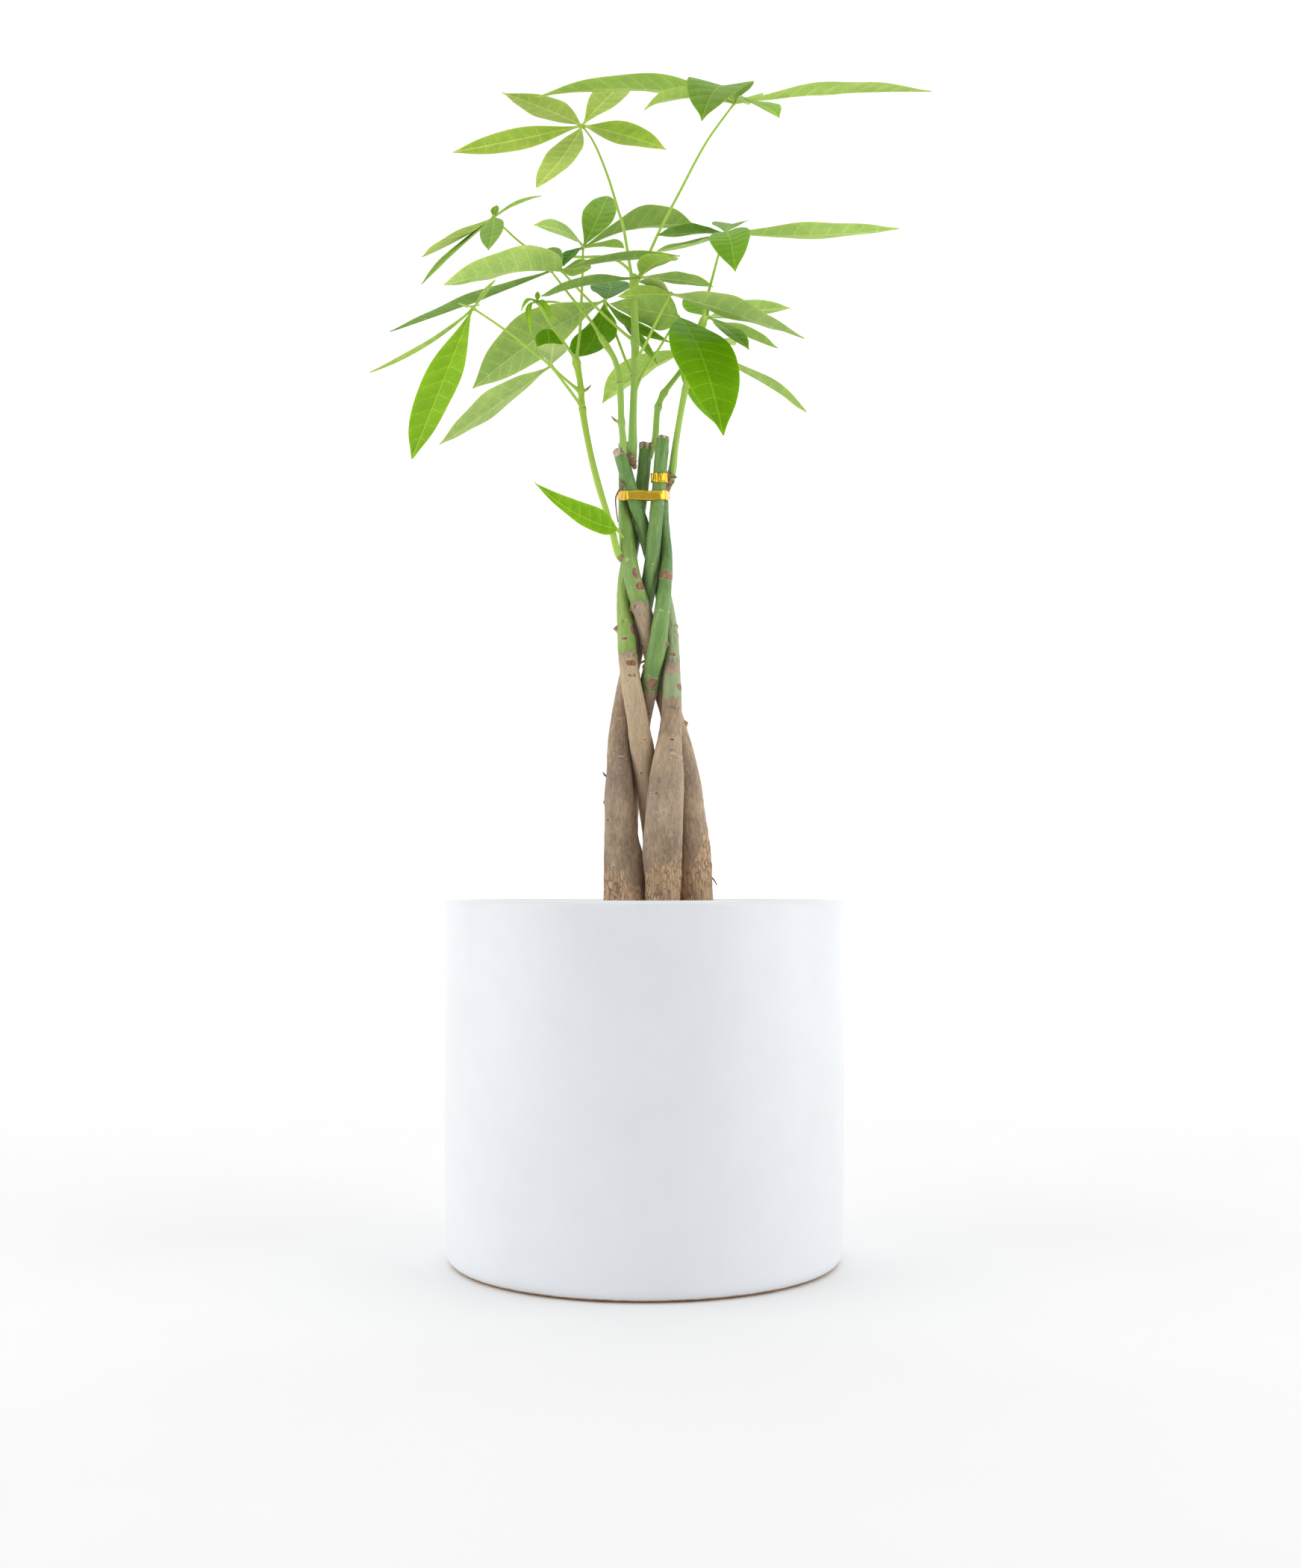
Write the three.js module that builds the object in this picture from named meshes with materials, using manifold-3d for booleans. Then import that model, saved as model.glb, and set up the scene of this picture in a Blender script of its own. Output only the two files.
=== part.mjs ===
// A potted money tree: five braided trunks in a white cylinder pot, with palmate leaves.
// Millimetres, +Z up. The origin is the centre of the pot's flat underside, +X is to the
// right and +Y away from the side that is looked at.

import * as THREE from 'three';
import { mergeVertices } from 'three/addons/utils/BufferGeometryUtils.js';
import Module from 'manifold-3d';

const wasm = await Module();
wasm.setup();

// Driving dimensions
const POT_RADIUS = 76;
const POT_TAPER = 2;
const POT_HEIGHT = 134;
const POT_WALL = 4.5;
const POT_FLOOR = 6;
const LIP_ROUND = 2.2;
const FOOT_ROUND = 5;
const SOIL_TOP = 113;
const SOIL_DOME = 3;
const ROOT_DEPTH = 82;
const GAP = 0.3;
const BLADE_THICKNESS = 0.8;
const HUB_RADIUS = 2;
const STALK_RADIUS = 0.9;
const TIE_HEIGHT = 3.4;
const TIE_THICKNESS = 0.6;
const TIE_CLEAR = 0.6;
const TRUNK_SIDES = 10;
const SHOOT_SIDES = 8;
const STALK_SIDES = 5;

// The five trunks. A row is x, y, z and the radius there, from the root to the cut top.
const TRUNKS = {
  trunk_1: [
    [19.5, 1, ROOT_DEPTH, 6.5], [19.5, 0.5, 115, 6.8], [19.5, 0, 134, 6.5], [18.5, 1.8, 158, 5.9],
    [16.5, 4.2, 178, 5.2], [12, 5.8, 199, 4.4], [5.8, 5.4, 220, 3.9], [0, -0.8, 241, 3.7],
    [-5, -3.7, 259, 3.2], [-7.2, -0.7, 276, 2.8], [-8, 2.6, 289, 2.5], [-7.6, 3.2, 310, 2.5],
  ],
  trunk_2: [
    [-8, -4, ROOT_DEPTH, 7], [-7.6, -3.6, 115, 9], [-7.2, -3, 134, 8.3], [-8.8, -1.5, 157, 6.4],
    [-9.7, 0, 178, 5.3], [-9.3, 2.5, 199, 4.1], [-6.2, 6.6, 220, 3.6], [-1.8, 6.6, 238.5, 3.2],
    [1.6, 0.4, 255, 3], [3.4, -3, 269, 2.8], [5.1, -3.4, 286, 2.7], [7, -2.4, 311, 2.7],
  ],
  trunk_3: [
    [-8, 15, ROOT_DEPTH, 6], [-8, 14.6, 115, 6], [-8, 14.1, 134, 5.6], [-7.8, 12.3, 158, 5.2],
    [-6, 11.3, 178, 4.6], [-2.2, 8.6, 199, 4], [2.2, -1.4, 218, 3.6], [5, -5.1, 231, 3.4],
    [7.2, -4.1, 248, 2.8], [8.3, -1, 263, 2.5], [7.7, 2.2, 280, 2.4], [7.5, 3.8, 299, 2.3],
  ],
  trunk_4: [
    [7.5, -12, ROOT_DEPTH, 6], [7, -11, 115, 6.4], [6.9, -10, 134, 6.4], [7.2, -8.8, 158, 7.2],
    [8.3, -7.2, 179, 6.5], [10, -4.8, 199, 4.2], [10.3, -1.8, 220, 3.4], [9.6, 2.4, 238.5, 3.1],
    [5.8, 4.6, 256, 3], [0, 1, 275, 2.8], [-4.6, -3.2, 289, 2.6], [-9.6, -3.4, 306, 2.6],
  ],
  trunk_5: [
    [6, 10, ROOT_DEPTH, 6], [5.8, 9.4, 115, 6.2], [5.4, 8.8, 134, 5.8], [4.3, 7.2, 158, 5],
    [1.4, 3, 178, 4.9], [-2, -4, 198, 4.2], [-5.6, -3.8, 220, 3.7], [-7.2, 0.4, 238.5, 3.4],
    [-7.4, 3.7, 256, 3], [-4, 5.8, 275, 2.7], [-1.4, 4.8, 290, 2.6], [0.6, 2, 310, 2.5],
  ],
};

// The green shoots, with the trunk that each grows out of. A row is x, y, z and the radius.
const SHOOTS = {
  shoot_1: { from: 'trunk_1', route: [
    [-6.8, 2.6, 301, 1.6], [-5, 0.2, 306, 1.9], [-4.5, -0.6, 319, 1.5], [-3.9, 0, 337, 1.4],
    [-3.6, 0, 350, 1.6], [-4, 0, 364, 1.4], [-4.2, 0, 375, 1.7]] },
  shoot_2: { from: 'trunk_4', route: [
    [-9, -3.5, 301, 1.3], [-8.2, -5, 308, 1.4], [-8.8, -4.6, 316, 1.2], [-9.6, -4.2, 332, 1.3],
    [-11.4, -4, 341, 1.1], [-16.8, -4, 350, 1.2]] },
  shoot_3: { from: 'trunk_1', route: [
    [-6.4, -3, 262, 1.5], [-10, -4.4, 266, 1.4], [-12, -5.4, 273, 1.3], [-14.6, -6, 282, 1.2],
    [-17.6, -5, 292, 1.3], [-21, -3, 306, 1.2], [-24, 0, 323, 1.3], [-25, 2, 334, 1.2],
    [-26.8, 4, 344, 1.5]] },
  shoot_4: { from: 'trunk_5', route: [
    [1.2, 2.2, 304, 1.2], [3.8, 4.4, 311, 1.3], [5.1, 7, 325, 1.2], [7, 9, 331, 1.2],
    [13, 15, 341, 1], [20, 24, 353, 1.3]] },
  shoot_5: { from: 'trunk_3', route: [
    [8.6, 3.4, 293, 1.6], [10.6, 1.6, 299, 1.6], [11.8, 0.3, 308, 1.3], [13.7, 0, 320, 1.2],
    [15.8, 0, 331, 1.3], [19.2, 0.6, 346, 1.2], [23, 2, 359, 1.5]] },
};

// A leaf is a stalk and a hand of blades. The stalk runs from the shoot or trunk it grows out
// of, through its route, to the hub where the blades meet. A blade row is the compass angle of
// its tip seen from above, its rise above the level, its length and its width, and then what
// differs from BLADE_SHAPE below.
const LEAVES = {
  leaf_a: { from: 'shoot_1', facing: [0, -0.93, 0.37], hub: [-25, 14, 442], stalk: [
    [-4.8, 0.6, 374], [-8.4, 2, 396], [-10.3, 3.4, 403], [-14.8, 7, 419], [-20.4, 11, 434]], blades: [
    [142, 31, 51, 13, { arch: -0.04, bend: 0.05, twist: -5, peak: 1, full: 0.35, tip: 0.55 }],
    [204, -21, 57.5, 9, { arch: 0.01, bend: -0.02, turn: 23, twist: 14, tip: 0.55 }],
    [248, -45, 58.5, 12.5, { arch: 0.01, bend: -0.03, turn: -8, full: 0.7 }],
    [344, -22, 37.5, 13.5, { turn: 5, twist: 15 }], [56, 44, 48, 13]] },
  leaf_b: { from: 'shoot_1', hub: [35, -6, 442], stalk: [
    [-3.2, -0.8, 372.6], [5.9, -2, 393], [13.2, -3, 407], [24, -4.4, 427]], blades: [
    [173, 5, 78, 22.5, { arch: 0.06, turn: 8, twist: 7, peak: 0.85 }],
    [220, -20, 48.5, 10.5, { arch: 0.1, bend: 0.09, turn: -10, twist: -36, fold: 0.35, full: 0.6, tip: 0.5 }],
    [251, -31, 50.5, 24, { arch: 0.17, bend: -0.03, turn: 12, twist: -7, peak: 0.9, full: 0.6, tip: 0.65 }],
    [8, 7, 79.5, 20.5, { bend: -0.02, turn: -12, twist: -16 }],
    [290, -30, 48, 12, { arch: 0.05, twist: -30 }], [80, 24, 50, 17]] },
  leaf_c: { from: 'shoot_3', hub: [-24.5, 14, 392.5], stalk: [
    [-26.6, 3.8, 343.4], [-25.2, 2, 354], [-24.6, 4, 369], [-24.4, 10, 385]], blades: [
    [123, 29, 46, 9.5, { arch: 0.05, bend: 0.07, turn: -38, twist: -13, fold: 0.1, full: 0.55 }],
    [74, 46, 46.5, 13, { bend: 0.03, turn: -21, twist: 14, full: 0.7, tip: 0.2 }],
    [7, 14, 45.5, 22, { arch: 0.07, bend: 0.03, twist: 25, fold: 0.35, peak: 1.2, tip: 0.2 }],
    [48, 15, 25, 11], [230, -44, 16, 7.5, { arch: 0.06, turn: 10, twist: 9, fold: 0.3 }]] },
  leaf_d: { from: 'shoot_1', hub: [-32, -8, 375], stalk: [
    [-3.6, 0, 350], [-6.4, -1, 351.4], [-19, -5, 361.8], [-27, -7, 369.6]], blades: [
    [207, -16, 49.5, 23, { bend: -0.04, turn: -13, twist: -35, fold: 0.4, peak: 0.6, full: 0.55 }],
    [117, 35, 24.5, 8, { arch: 0.06, bend: 0.04, turn: 50, full: 0.3 }], [355, 5, 46, 9, { arch: 0.04 }],
    [37, 16, 14.5, 9, { turn: 28, twist: 9, fold: 0.05, full: 0.75 }]] },
  leaf_e: { from: 'shoot_2', hub: [-37, 7, 380.5], stalk: [
    [-16.6, -4, 349.6], [-20.4, -3, 356.2], [-27.6, -1, 365.8], [-33.6, 3.6, 375]], blades: [
    [182, -22, 67.5, 16.5, { arch: -0.01, turn: 7, twist: 7 }], [98, 20, 40, 14]] },
  leaf_f: { from: 'shoot_5', hub: [30, -30, 381], stalk: [
    [22.6, 1, 357.4], [23.6, -5, 363], [26, -16, 370], [28.4, -25, 377]], blades: [
    [346, -4, 64.5, 15.5, { arch: -0.02, twist: -5, full: 0.55 }],
    [272, -35, 53.5, 15, { arch: 0.07, turn: -13, fold: 0.3, peak: 1 }],
    [185, -4, 25.5, 11.5, { twist: -15, tip: 0.5 }],
    [225, -25, 40, 14, { arch: -0.02, bend: 0.02, turn: 9 }], [82, 25, 45, 14]] },
  leaf_g: { from: 'shoot_1', hub: [-1.6, -6, 373], stalk: [
    [-4.2, 0, 370.7], [-3.4, -3, 371.5]], blades: [
    [213, -20, 46.5, 15, { bend: 0.03, twist: -34, peak: 1.2 }],
    [291, -9, 39, 12, { arch: 0.05, bend: 0.03, twist: 24, peak: 1, full: 0.55 }],
    [23, 1, 31, 9.5, { turn: 7, full: 0.6, tip: 0.55 }]] },
  leaf_h: { from: 'shoot_1', hub: [10, -16, 363], stalk: [
    [-3.7, 0, 342], [-0.4, -4, 346], [4.4, -9.4, 354], [7.8, -13.2, 359.4]], blades: [
    [345, -23, 55.5, 22.5, { arch: 0.01, turn: 6, twist: -26, full: 0.6 }],
    [206, 10, 14, 7.5, { arch: 0.08, twist: -16, fold: 0.25 }],
    [193, -8, 20.5, 10.5, { turn: -7, twist: -10, full: 0.6 }]] },
  leaf_j: { from: 'shoot_1', hub: [13, 4, 361], stalk: [
    [-4, 0, 329.6], [-0.8, 0.8, 337], [4, 2, 345], [9.8, 3.4, 355]], blades: [
    [185, 9, 27, 20.5, { bend: 0.05, turn: -20, twist: 27, fold: 0.1, peak: 0.6, full: 0.55 }],
    [288, -50, 78.5, 25.5, { arch: 0.1, bend: 0.02 }], [128, 18, 36, 13]] },
  leaf_k: { from: 'shoot_1', hub: [-16, 20, 373], stalk: [
    [-4, 0.4, 335], [-6.4, 4, 341], [-11, 10, 355], [-14.6, 17, 367]], blades: [
    [183, -35, 64, 24, { arch: 0.04, turn: -36, twist: 8 }],
    [239, -57, 33, 20.5, { arch: -0.1, twist: 24, fold: 0.05, peak: 1.2, full: 0.8, tip: 0.25 }],
    [338, -36, 35, 9.5, { arch: -0.08, bend: 0.02, turn: -30, peak: 1.2 }],
    [88, 32, 35, 16.5, { arch: 0, bend: 0.04, full: 0.65 }],
    [340, -52, 37, 8.5, { arch: 0.01, turn: -17, twist: -16 }]] },
  leaf_m: { from: 'shoot_5', hub: [25.2, 4.6, 361], stalk: [
    [22.8, 2.2, 358], [24, 3.4, 359.6]], blades: [
    [42, 17, 48.5, 10, { bend: -0.08, turn: 32, twist: 23, fold: 0.3, peak: 0.85, full: 0.65, tip: 0.55 }],
    [341, -29, 31.5, 13.5, { arch: -0.01, bend: -0.05, twist: 27, fold: 0.35, peak: 1.25, tip: 0.5 }],
    [299, -36, 36, 9.5, { bend: 0.03, turn: -8, peak: 1.3, tip: 0.5 }],
    [110, 36, 30, 11.5, { arch: -0.02, bend: 0.03, turn: 33, twist: -15, peak: 1.25 }]] },
  leaf_n: { from: 'shoot_4', hub: [20.6, 25, 355], stalk: [
    [19.6, 23.6, 352.4], [20.2, 24.4, 354]], blades: [
    [334, -34, 57, 16, { bend: -0.03, turn: 4, twist: 40, peak: 1.25, full: 0.55 }],
    [150, -20, 47, 19.5, { arch: 0.06, bend: -0.02, twist: -5, fold: 0.35, peak: 1.25 }],
    [285, -54, 47.5, 14.5, { arch: 0, bend: 0.08, turn: 10, twist: -11, peak: 1, full: 0.55 }],
    [65, 18, 44, 15]] },
  leaf_p: { from: 'shoot_1', hub: [-60.4, 16, 405.4], stalk: [
    [-3.8, 0.6, 366], [-5.4, 6, 379], [-14, 15, 388.5], [-28, 20.5, 391], [-46, 21, 394.5], [-56, 18, 401.6]],
  blades: [
    [216, -36, 39.5, 12.5, { arch: -0.02, turn: 15, twist: -11, fold: 0.3, full: 0.55, tip: 0.55 }],
    [237, -43, 59, 7.5, { arch: 0.01, turn: -8, twist: 12 }],
    [272, -39, 40, 10, { bend: -0.02, turn: -19, twist: 9, full: 0.55 }],
    [55, 32, 36, 2.5, { bend: -0.02, turn: 41, twist: -7, fold: 0.3 }], [79, 56, 8, 3.5, { twist: 17 }]] },
  leaf_q: { from: 'shoot_3', hub: [-64, -26, 354], stalk: [
    [-24, -0.4, 323.6], [-30, -10, 329.6], [-35.6, -14.4, 335.6], [-42.4, -18.4, 340.2],
    [-53, -24, 347]], blades: [
    [233, -64, 70.5, 17.5, { arch: 0, turn: 10, twist: 8, full: 0.6 }],
    [185, -34, 45.5, 7, { arch: -0.04, bend: 0.06, turn: 4, full: 0.7 }],
    [352, 50, 13.5, 4.5, { arch: -0.01, turn: -4, twist: 10, tip: 0.5 }], [104, 19, 20, 8]] },
  leaf_u: { from: 'shoot_3', hub: [-41, -9.4, 362], stalk: [
    [-26, 2.4, 341.6], [-29.4, -1, 346.4], [-36, -5.4, 354.4]], blades: [
    [249, -29, 16.5, 2, { arch: 0.15, bend: -0.02, turn: 15, twist: -13, peak: 1, full: 0.35 }],
    [265, -51, 22.5, 2.5, { arch: 0.19, bend: 0.07, turn: -16, full: 0.2 }],
    [303, -43, 17, 2.5, { arch: 0.16, bend: 0.08, turn: -47, twist: 24, fold: 0.35, peak: 0.9 }],
    [20, 5, 10, 1.6], [92, 60, 6, 2]] },
  leaf_v: { from: 'shoot_3', hub: [-36, -4, 339], stalk: [
    [-25, 1.6, 330.4], [-31.4, -2, 335]], blades: [
    [192, -38, 54, 18, { arch: 0, turn: -20, twist: 5 }],
    [100, 56, 22, 11, { fold: 0.05, peak: 1.4, full: 0.8, tip: 0.1 }], [275, -2, 30, 11]] },
  leaf_w: { from: 'trunk_1', hub: [-10.5, -10, 274], stalk: [
    [-7.2, -1.4, 271], [-9.2, -6, 273]], blades: [
    [209, 22, 37, 10.5, { arch: -0.09, bend: -0.04, turn: 75, twist: -9, fold: 0.5, peak: 0.6 }]] },
};

const COLOURS = {
  pot: { color: 0xeef0f2, roughness: 0.35, metalness: 0 },
  soil: { color: 0x3b2c20, roughness: 0.95, metalness: 0 },
  trunk: { color: 0x8a8168, roughness: 0.85, metalness: 0 },
  shoot: { color: 0x8fa066, roughness: 0.6, metalness: 0 },
  leaf: { color: 0x6d8f3a, roughness: 0.55, metalness: 0 },
  tie: { color: 0xc9a24a, roughness: 0.35, metalness: 1 },
};

// Solids: three.js geometry to a closed solid and back
function solidOf(geometry) {
  const bare = geometry.clone();
  bare.deleteAttribute('normal');
  bare.deleteAttribute('uv');
  const merged = mergeVertices(bare, 1e-4);
  const index = merged.index.array;
  const kept = [];
  for (let i = 0; i < index.length; i += 3) {
    const [a, b, c] = [index[i], index[i + 1], index[i + 2]];
    if (a !== b && b !== c && c !== a) kept.push(a, b, c);
  }
  return new wasm.Manifold(new wasm.Mesh({
    numProp: 3,
    vertProperties: new Float32Array(merged.attributes.position.array),
    triVerts: new Uint32Array(kept),
  }));
}

function geometryOf(solid) {
  const mesh = solid.getMesh();
  const geometry = new THREE.BufferGeometry();
  geometry.setAttribute('position', new THREE.BufferAttribute(new Float32Array(mesh.vertProperties), 3));
  geometry.setIndex(new THREE.BufferAttribute(new Uint32Array(mesh.triVerts), 1));
  return geometry;
}

function geometryFrom(points, triangles) {
  const geometry = new THREE.BufferGeometry();
  geometry.setAttribute('position', new THREE.Float32BufferAttribute(points.flatMap((p) => p.toArray()), 3));
  geometry.setIndex(triangles);
  return geometry;
}

// Rings of points joined into a closed skin, with a fan over each end
function skin(rings) {
  const points = rings.flat();
  const sides = rings[0].length;
  const triangles = [];
  for (let r = 0; r + 1 < rings.length; r += 1) {
    for (let s = 0; s < sides; s += 1) {
      const a = r * sides + s;
      const b = r * sides + ((s + 1) % sides);
      triangles.push(a, b, b + sides, a, b + sides, a + sides);
    }
  }
  const last = (rings.length - 1) * sides;
  for (let s = 1; s + 1 < sides; s += 1) {
    triangles.push(0, s + 1, s);
    triangles.push(last, last + s, last + s + 1);
  }
  return geometryFrom(points, triangles);
}

// A round rod through the rows of a route, each x, y, z and radius
function rod(rows, sides, substeps, grow = 0) {
  const curve = new THREE.CatmullRomCurve3(rows.map(([x, y, z]) => new THREE.Vector3(x, y, z)));
  const steps = (rows.length - 1) * substeps;
  const across = new THREE.Vector3(1, 0, 0);
  const rings = [];
  for (let i = 0; i <= steps; i += 1) {
    const at = i / steps;
    const centre = curve.getPoint(at);
    const ahead = curve.getTangent(at);
    across.addScaledVector(ahead, -across.dot(ahead)).normalize();
    const beside = new THREE.Vector3().crossVectors(ahead, across);
    const row = Math.min(Math.floor(i / substeps), rows.length - 2);
    const radius = THREE.MathUtils.lerp(rows[row][3], rows[row + 1][3], i / substeps - row) + grow;
    if (i === 0) centre.addScaledVector(ahead, -grow);
    if (i === steps) centre.addScaledVector(ahead, grow);
    const ring = [];
    for (let s = 0; s < sides; s += 1) {
      const angle = (2 * Math.PI * s) / sides;
      ring.push(centre.clone()
        .addScaledVector(across, radius * Math.cos(angle))
        .addScaledVector(beside, radius * Math.sin(angle)));
    }
    rings.push(ring);
  }
  return solidOf(skin(rings));
}

// One blade from a hub. Its midrib leaves the chord by the arch upwards and by the bend
// sideways, and it rolls about the midrib by the turn, with the twist spread over its length.
// Its half width follows sin(pi * t ** peak) ** (1.25 - full * t), drawn in by the tip over the
// last part, and its edges stand above the midrib by the fold.
const BLADE_STATIONS = [0, 0.12, 0.25, 0.4, 0.56, 0.72, 0.87, 1];
const BLADE_SHAPE = { arch: 0.03, bend: 0, turn: 0, twist: 0, fold: 0.2, peak: 1.1, full: 0.45, tip: 0.4 };
const TIP_REACH = 0.09;
const LEAST_NECK = 0.8;
const LEAST_TIP = 0.4;

function blade(hub, facing, [aim, rise, length, width, changes]) {
  const { arch, bend, turn, twist, fold, peak, full, tip } = { ...BLADE_SHAPE, ...changes };
  const [a, b] = [THREE.MathUtils.degToRad(aim), THREE.MathUtils.degToRad(rise)];
  const along = new THREE.Vector3(Math.cos(a) * Math.cos(b), Math.sin(a) * Math.cos(b), Math.sin(b));
  const level = new THREE.Vector3().crossVectors(along, facing).normalize();
  const over = new THREE.Vector3().crossVectors(level, along);
  const hump = over.clone().multiplyScalar(arch).addScaledVector(level, bend);
  const rings = BLADE_STATIONS.map((t) => {
    const centre = hub.clone()
      .addScaledVector(along, length * t)
      .addScaledVector(hump, length * 4 * t * (1 - t));
    const ahead = along.clone().addScaledVector(hump, 4 * (1 - 2 * t)).normalize();
    const roll = THREE.MathUtils.degToRad(turn + twist * (t - 0.5));
    const side = level.clone().multiplyScalar(Math.cos(roll)).addScaledVector(over, Math.sin(roll));
    side.addScaledVector(ahead, -side.dot(ahead)).normalize();
    const face = new THREE.Vector3().crossVectors(side, ahead);
    const body = Math.max(Math.sin(Math.PI * t ** peak), 0) ** (1.25 - full * t);
    const drawn = 1 - tip * Math.exp(-(((1 - t) / TIP_REACH) ** 2));
    const half = Math.max(0.5 * width * body * drawn, THREE.MathUtils.lerp(LEAST_NECK, LEAST_TIP, t));
    const thick = BLADE_THICKNESS / 2;
    const place = (u, v) => centre.clone()
      .addScaledVector(side, u * half)
      .addScaledVector(face, v * thick + Math.abs(u) * half * fold);
    return [place(-1, 1), place(0, 1), place(1, 1), place(1, -1), place(0, -1), place(-1, -1)];
  });
  return solidOf(skin(rings));
}

function leafSolid(leaf) {
  const hub = new THREE.Vector3(...leaf.hub);
  const facing = new THREE.Vector3(...(leaf.facing ?? [0, 0, 1]));
  const rows = [...leaf.stalk, leaf.hub].map((p) => [...p, STALK_RADIUS]);
  let solid = rod(rows, STALK_SIDES, rows.length > 3 ? 2 : 1);
  const knot = new THREE.OctahedronGeometry(HUB_RADIUS);
  knot.translate(...leaf.hub);
  solid = solid.add(solidOf(knot));
  for (const row of leaf.blades) solid = solid.add(blade(hub, facing, row));
  return solid;
}

// Outside radius of the wall, which narrows a little on its way down
const wallRadius = (z) => POT_RADIUS - POT_TAPER * (1 - z / POT_HEIGHT);

// The pot: a wall with a rounded lip and foot, standing on a flat unglazed underside
function potSolid() {
  const profile = new THREE.Path();
  const foot = wallRadius(FOOT_ROUND) - FOOT_ROUND;
  profile.moveTo(0, 0);
  profile.lineTo(foot, 0);
  profile.absarc(foot, FOOT_ROUND, FOOT_ROUND, -Math.PI / 2, 0, false);
  profile.lineTo(POT_RADIUS, POT_HEIGHT - LIP_ROUND);
  profile.absarc(POT_RADIUS - LIP_ROUND, POT_HEIGHT - LIP_ROUND, LIP_ROUND, 0, Math.PI, false);
  profile.lineTo(wallRadius(POT_FLOOR) - POT_WALL, POT_FLOOR);
  profile.lineTo(0, POT_FLOOR);
  const geometry = new THREE.LatheGeometry(profile.getPoints(2), 48);
  geometry.rotateX(Math.PI / 2);
  return solidOf(geometry);
}

// The soil fills the pot up to a low dome around the trunks
function soilSolid() {
  const radius = (z) => wallRadius(z) - POT_WALL - GAP;
  const [low, edge] = [POT_FLOOR + GAP, SOIL_TOP - SOIL_DOME];
  const profile = [
    new THREE.Vector2(0, low),
    new THREE.Vector2(radius(low), low),
    new THREE.Vector2(radius(edge), edge),
    new THREE.Vector2(radius(edge) * 0.6, SOIL_TOP - SOIL_DOME * 0.4),
    new THREE.Vector2(0, SOIL_TOP),
  ];
  const geometry = new THREE.LatheGeometry(profile, 48);
  geometry.rotateX(Math.PI / 2);
  return solidOf(geometry);
}

// The outline round a set of circles, seen from above, as the convex hull of their edges
function hullAround(circles, clear) {
  const points = circles.flatMap(([x, y, r]) => Array.from({ length: 16 }, (_, k) => {
    const angle = (2 * Math.PI * k) / 16;
    return [x + (r + clear) * Math.cos(angle), y + (r + clear) * Math.sin(angle)];
  }));
  points.sort((p, q) => p[0] - q[0] || p[1] - q[1]);
  const turn = (o, p, q) => (p[0] - o[0]) * (q[1] - o[1]) - (p[1] - o[1]) * (q[0] - o[0]);
  const half = (list) => {
    const chain = [];
    for (const p of list) {
      while (chain.length > 1 && turn(chain.at(-2), chain.at(-1), p) <= 0) chain.pop();
      chain.push(p);
    }
    return chain.slice(0, -1);
  };
  return [...half(points), ...half([...points].reverse())];
}

// Centre and radius of a trunk at one height
function trunkCircle(name, z) {
  const rows = TRUNKS[name];
  const k = rows.findIndex((row) => row[2] > z);
  const share = (z - rows[k - 1][2]) / (rows[k][2] - rows[k - 1][2]);
  return [0, 1, 3].map((n) => THREE.MathUtils.lerp(rows[k - 1][n], rows[k][n], share));
}

// A flat band of twist tie round the trunks named. It clears them over its whole height.
function bandSolid(names, z) {
  const [low, high] = [z - TIE_HEIGHT / 2, z + TIE_HEIGHT / 2];
  const circles = names.flatMap((name) => [low, z, high].map((level) => trunkCircle(name, level)));
  const ring = (gap, from, to) => {
    const shape = new THREE.Shape(hullAround(circles, gap).map(([x, y]) => new THREE.Vector2(x, y)));
    const geometry = new THREE.ExtrudeGeometry(shape, { depth: to - from, bevelEnabled: false });
    geometry.translate(0, 0, from);
    return solidOf(geometry);
  };
  return ring(TIE_CLEAR + TIE_THICKNESS, low, high).subtract(ring(TIE_CLEAR, low - 1, high + 1));
}

// The pieces
const group = new THREE.Group();

function addPiece(name, kind, solid) {
  const mesh = new THREE.Mesh(geometryOf(solid), new THREE.MeshStandardMaterial(COLOURS[kind]));
  mesh.name = name;
  group.add(mesh);
}

addPiece('pot', 'pot', potSolid());

const grownTrunks = {};
const grownShoots = {};
let soil = soilSolid();
const placed = [];
for (const [name, rows] of Object.entries(TRUNKS)) {
  grownTrunks[name] = rod(rows, TRUNK_SIDES, 2, GAP);
  let trunk = rod(rows, TRUNK_SIDES, 2);
  for (const other of placed) trunk = trunk.subtract(grownTrunks[other]);
  placed.push(name);
  soil = soil.subtract(grownTrunks[name]);
  addPiece(name, 'trunk', trunk);
}
addPiece('soil', 'soil', soil);

for (const [name, { from, route }] of Object.entries(SHOOTS)) {
  grownShoots[name] = rod(route, SHOOT_SIDES, 2, GAP);
  addPiece(name, 'shoot', rod(route, SHOOT_SIDES, 2).subtract(grownTrunks[from]));
}

for (const [name, leaf] of Object.entries(LEAVES)) {
  const carrier = grownShoots[leaf.from] ?? grownTrunks[leaf.from];
  addPiece(name, 'leaf', leafSolid(leaf).subtract(carrier));
}

addPiece('tie_bundle', 'tie', bandSolid(Object.keys(TRUNKS), 288));
addPiece('tie_single', 'tie', bandSolid(['trunk_2'], 294.8));

export default group;
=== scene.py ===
import math

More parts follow.
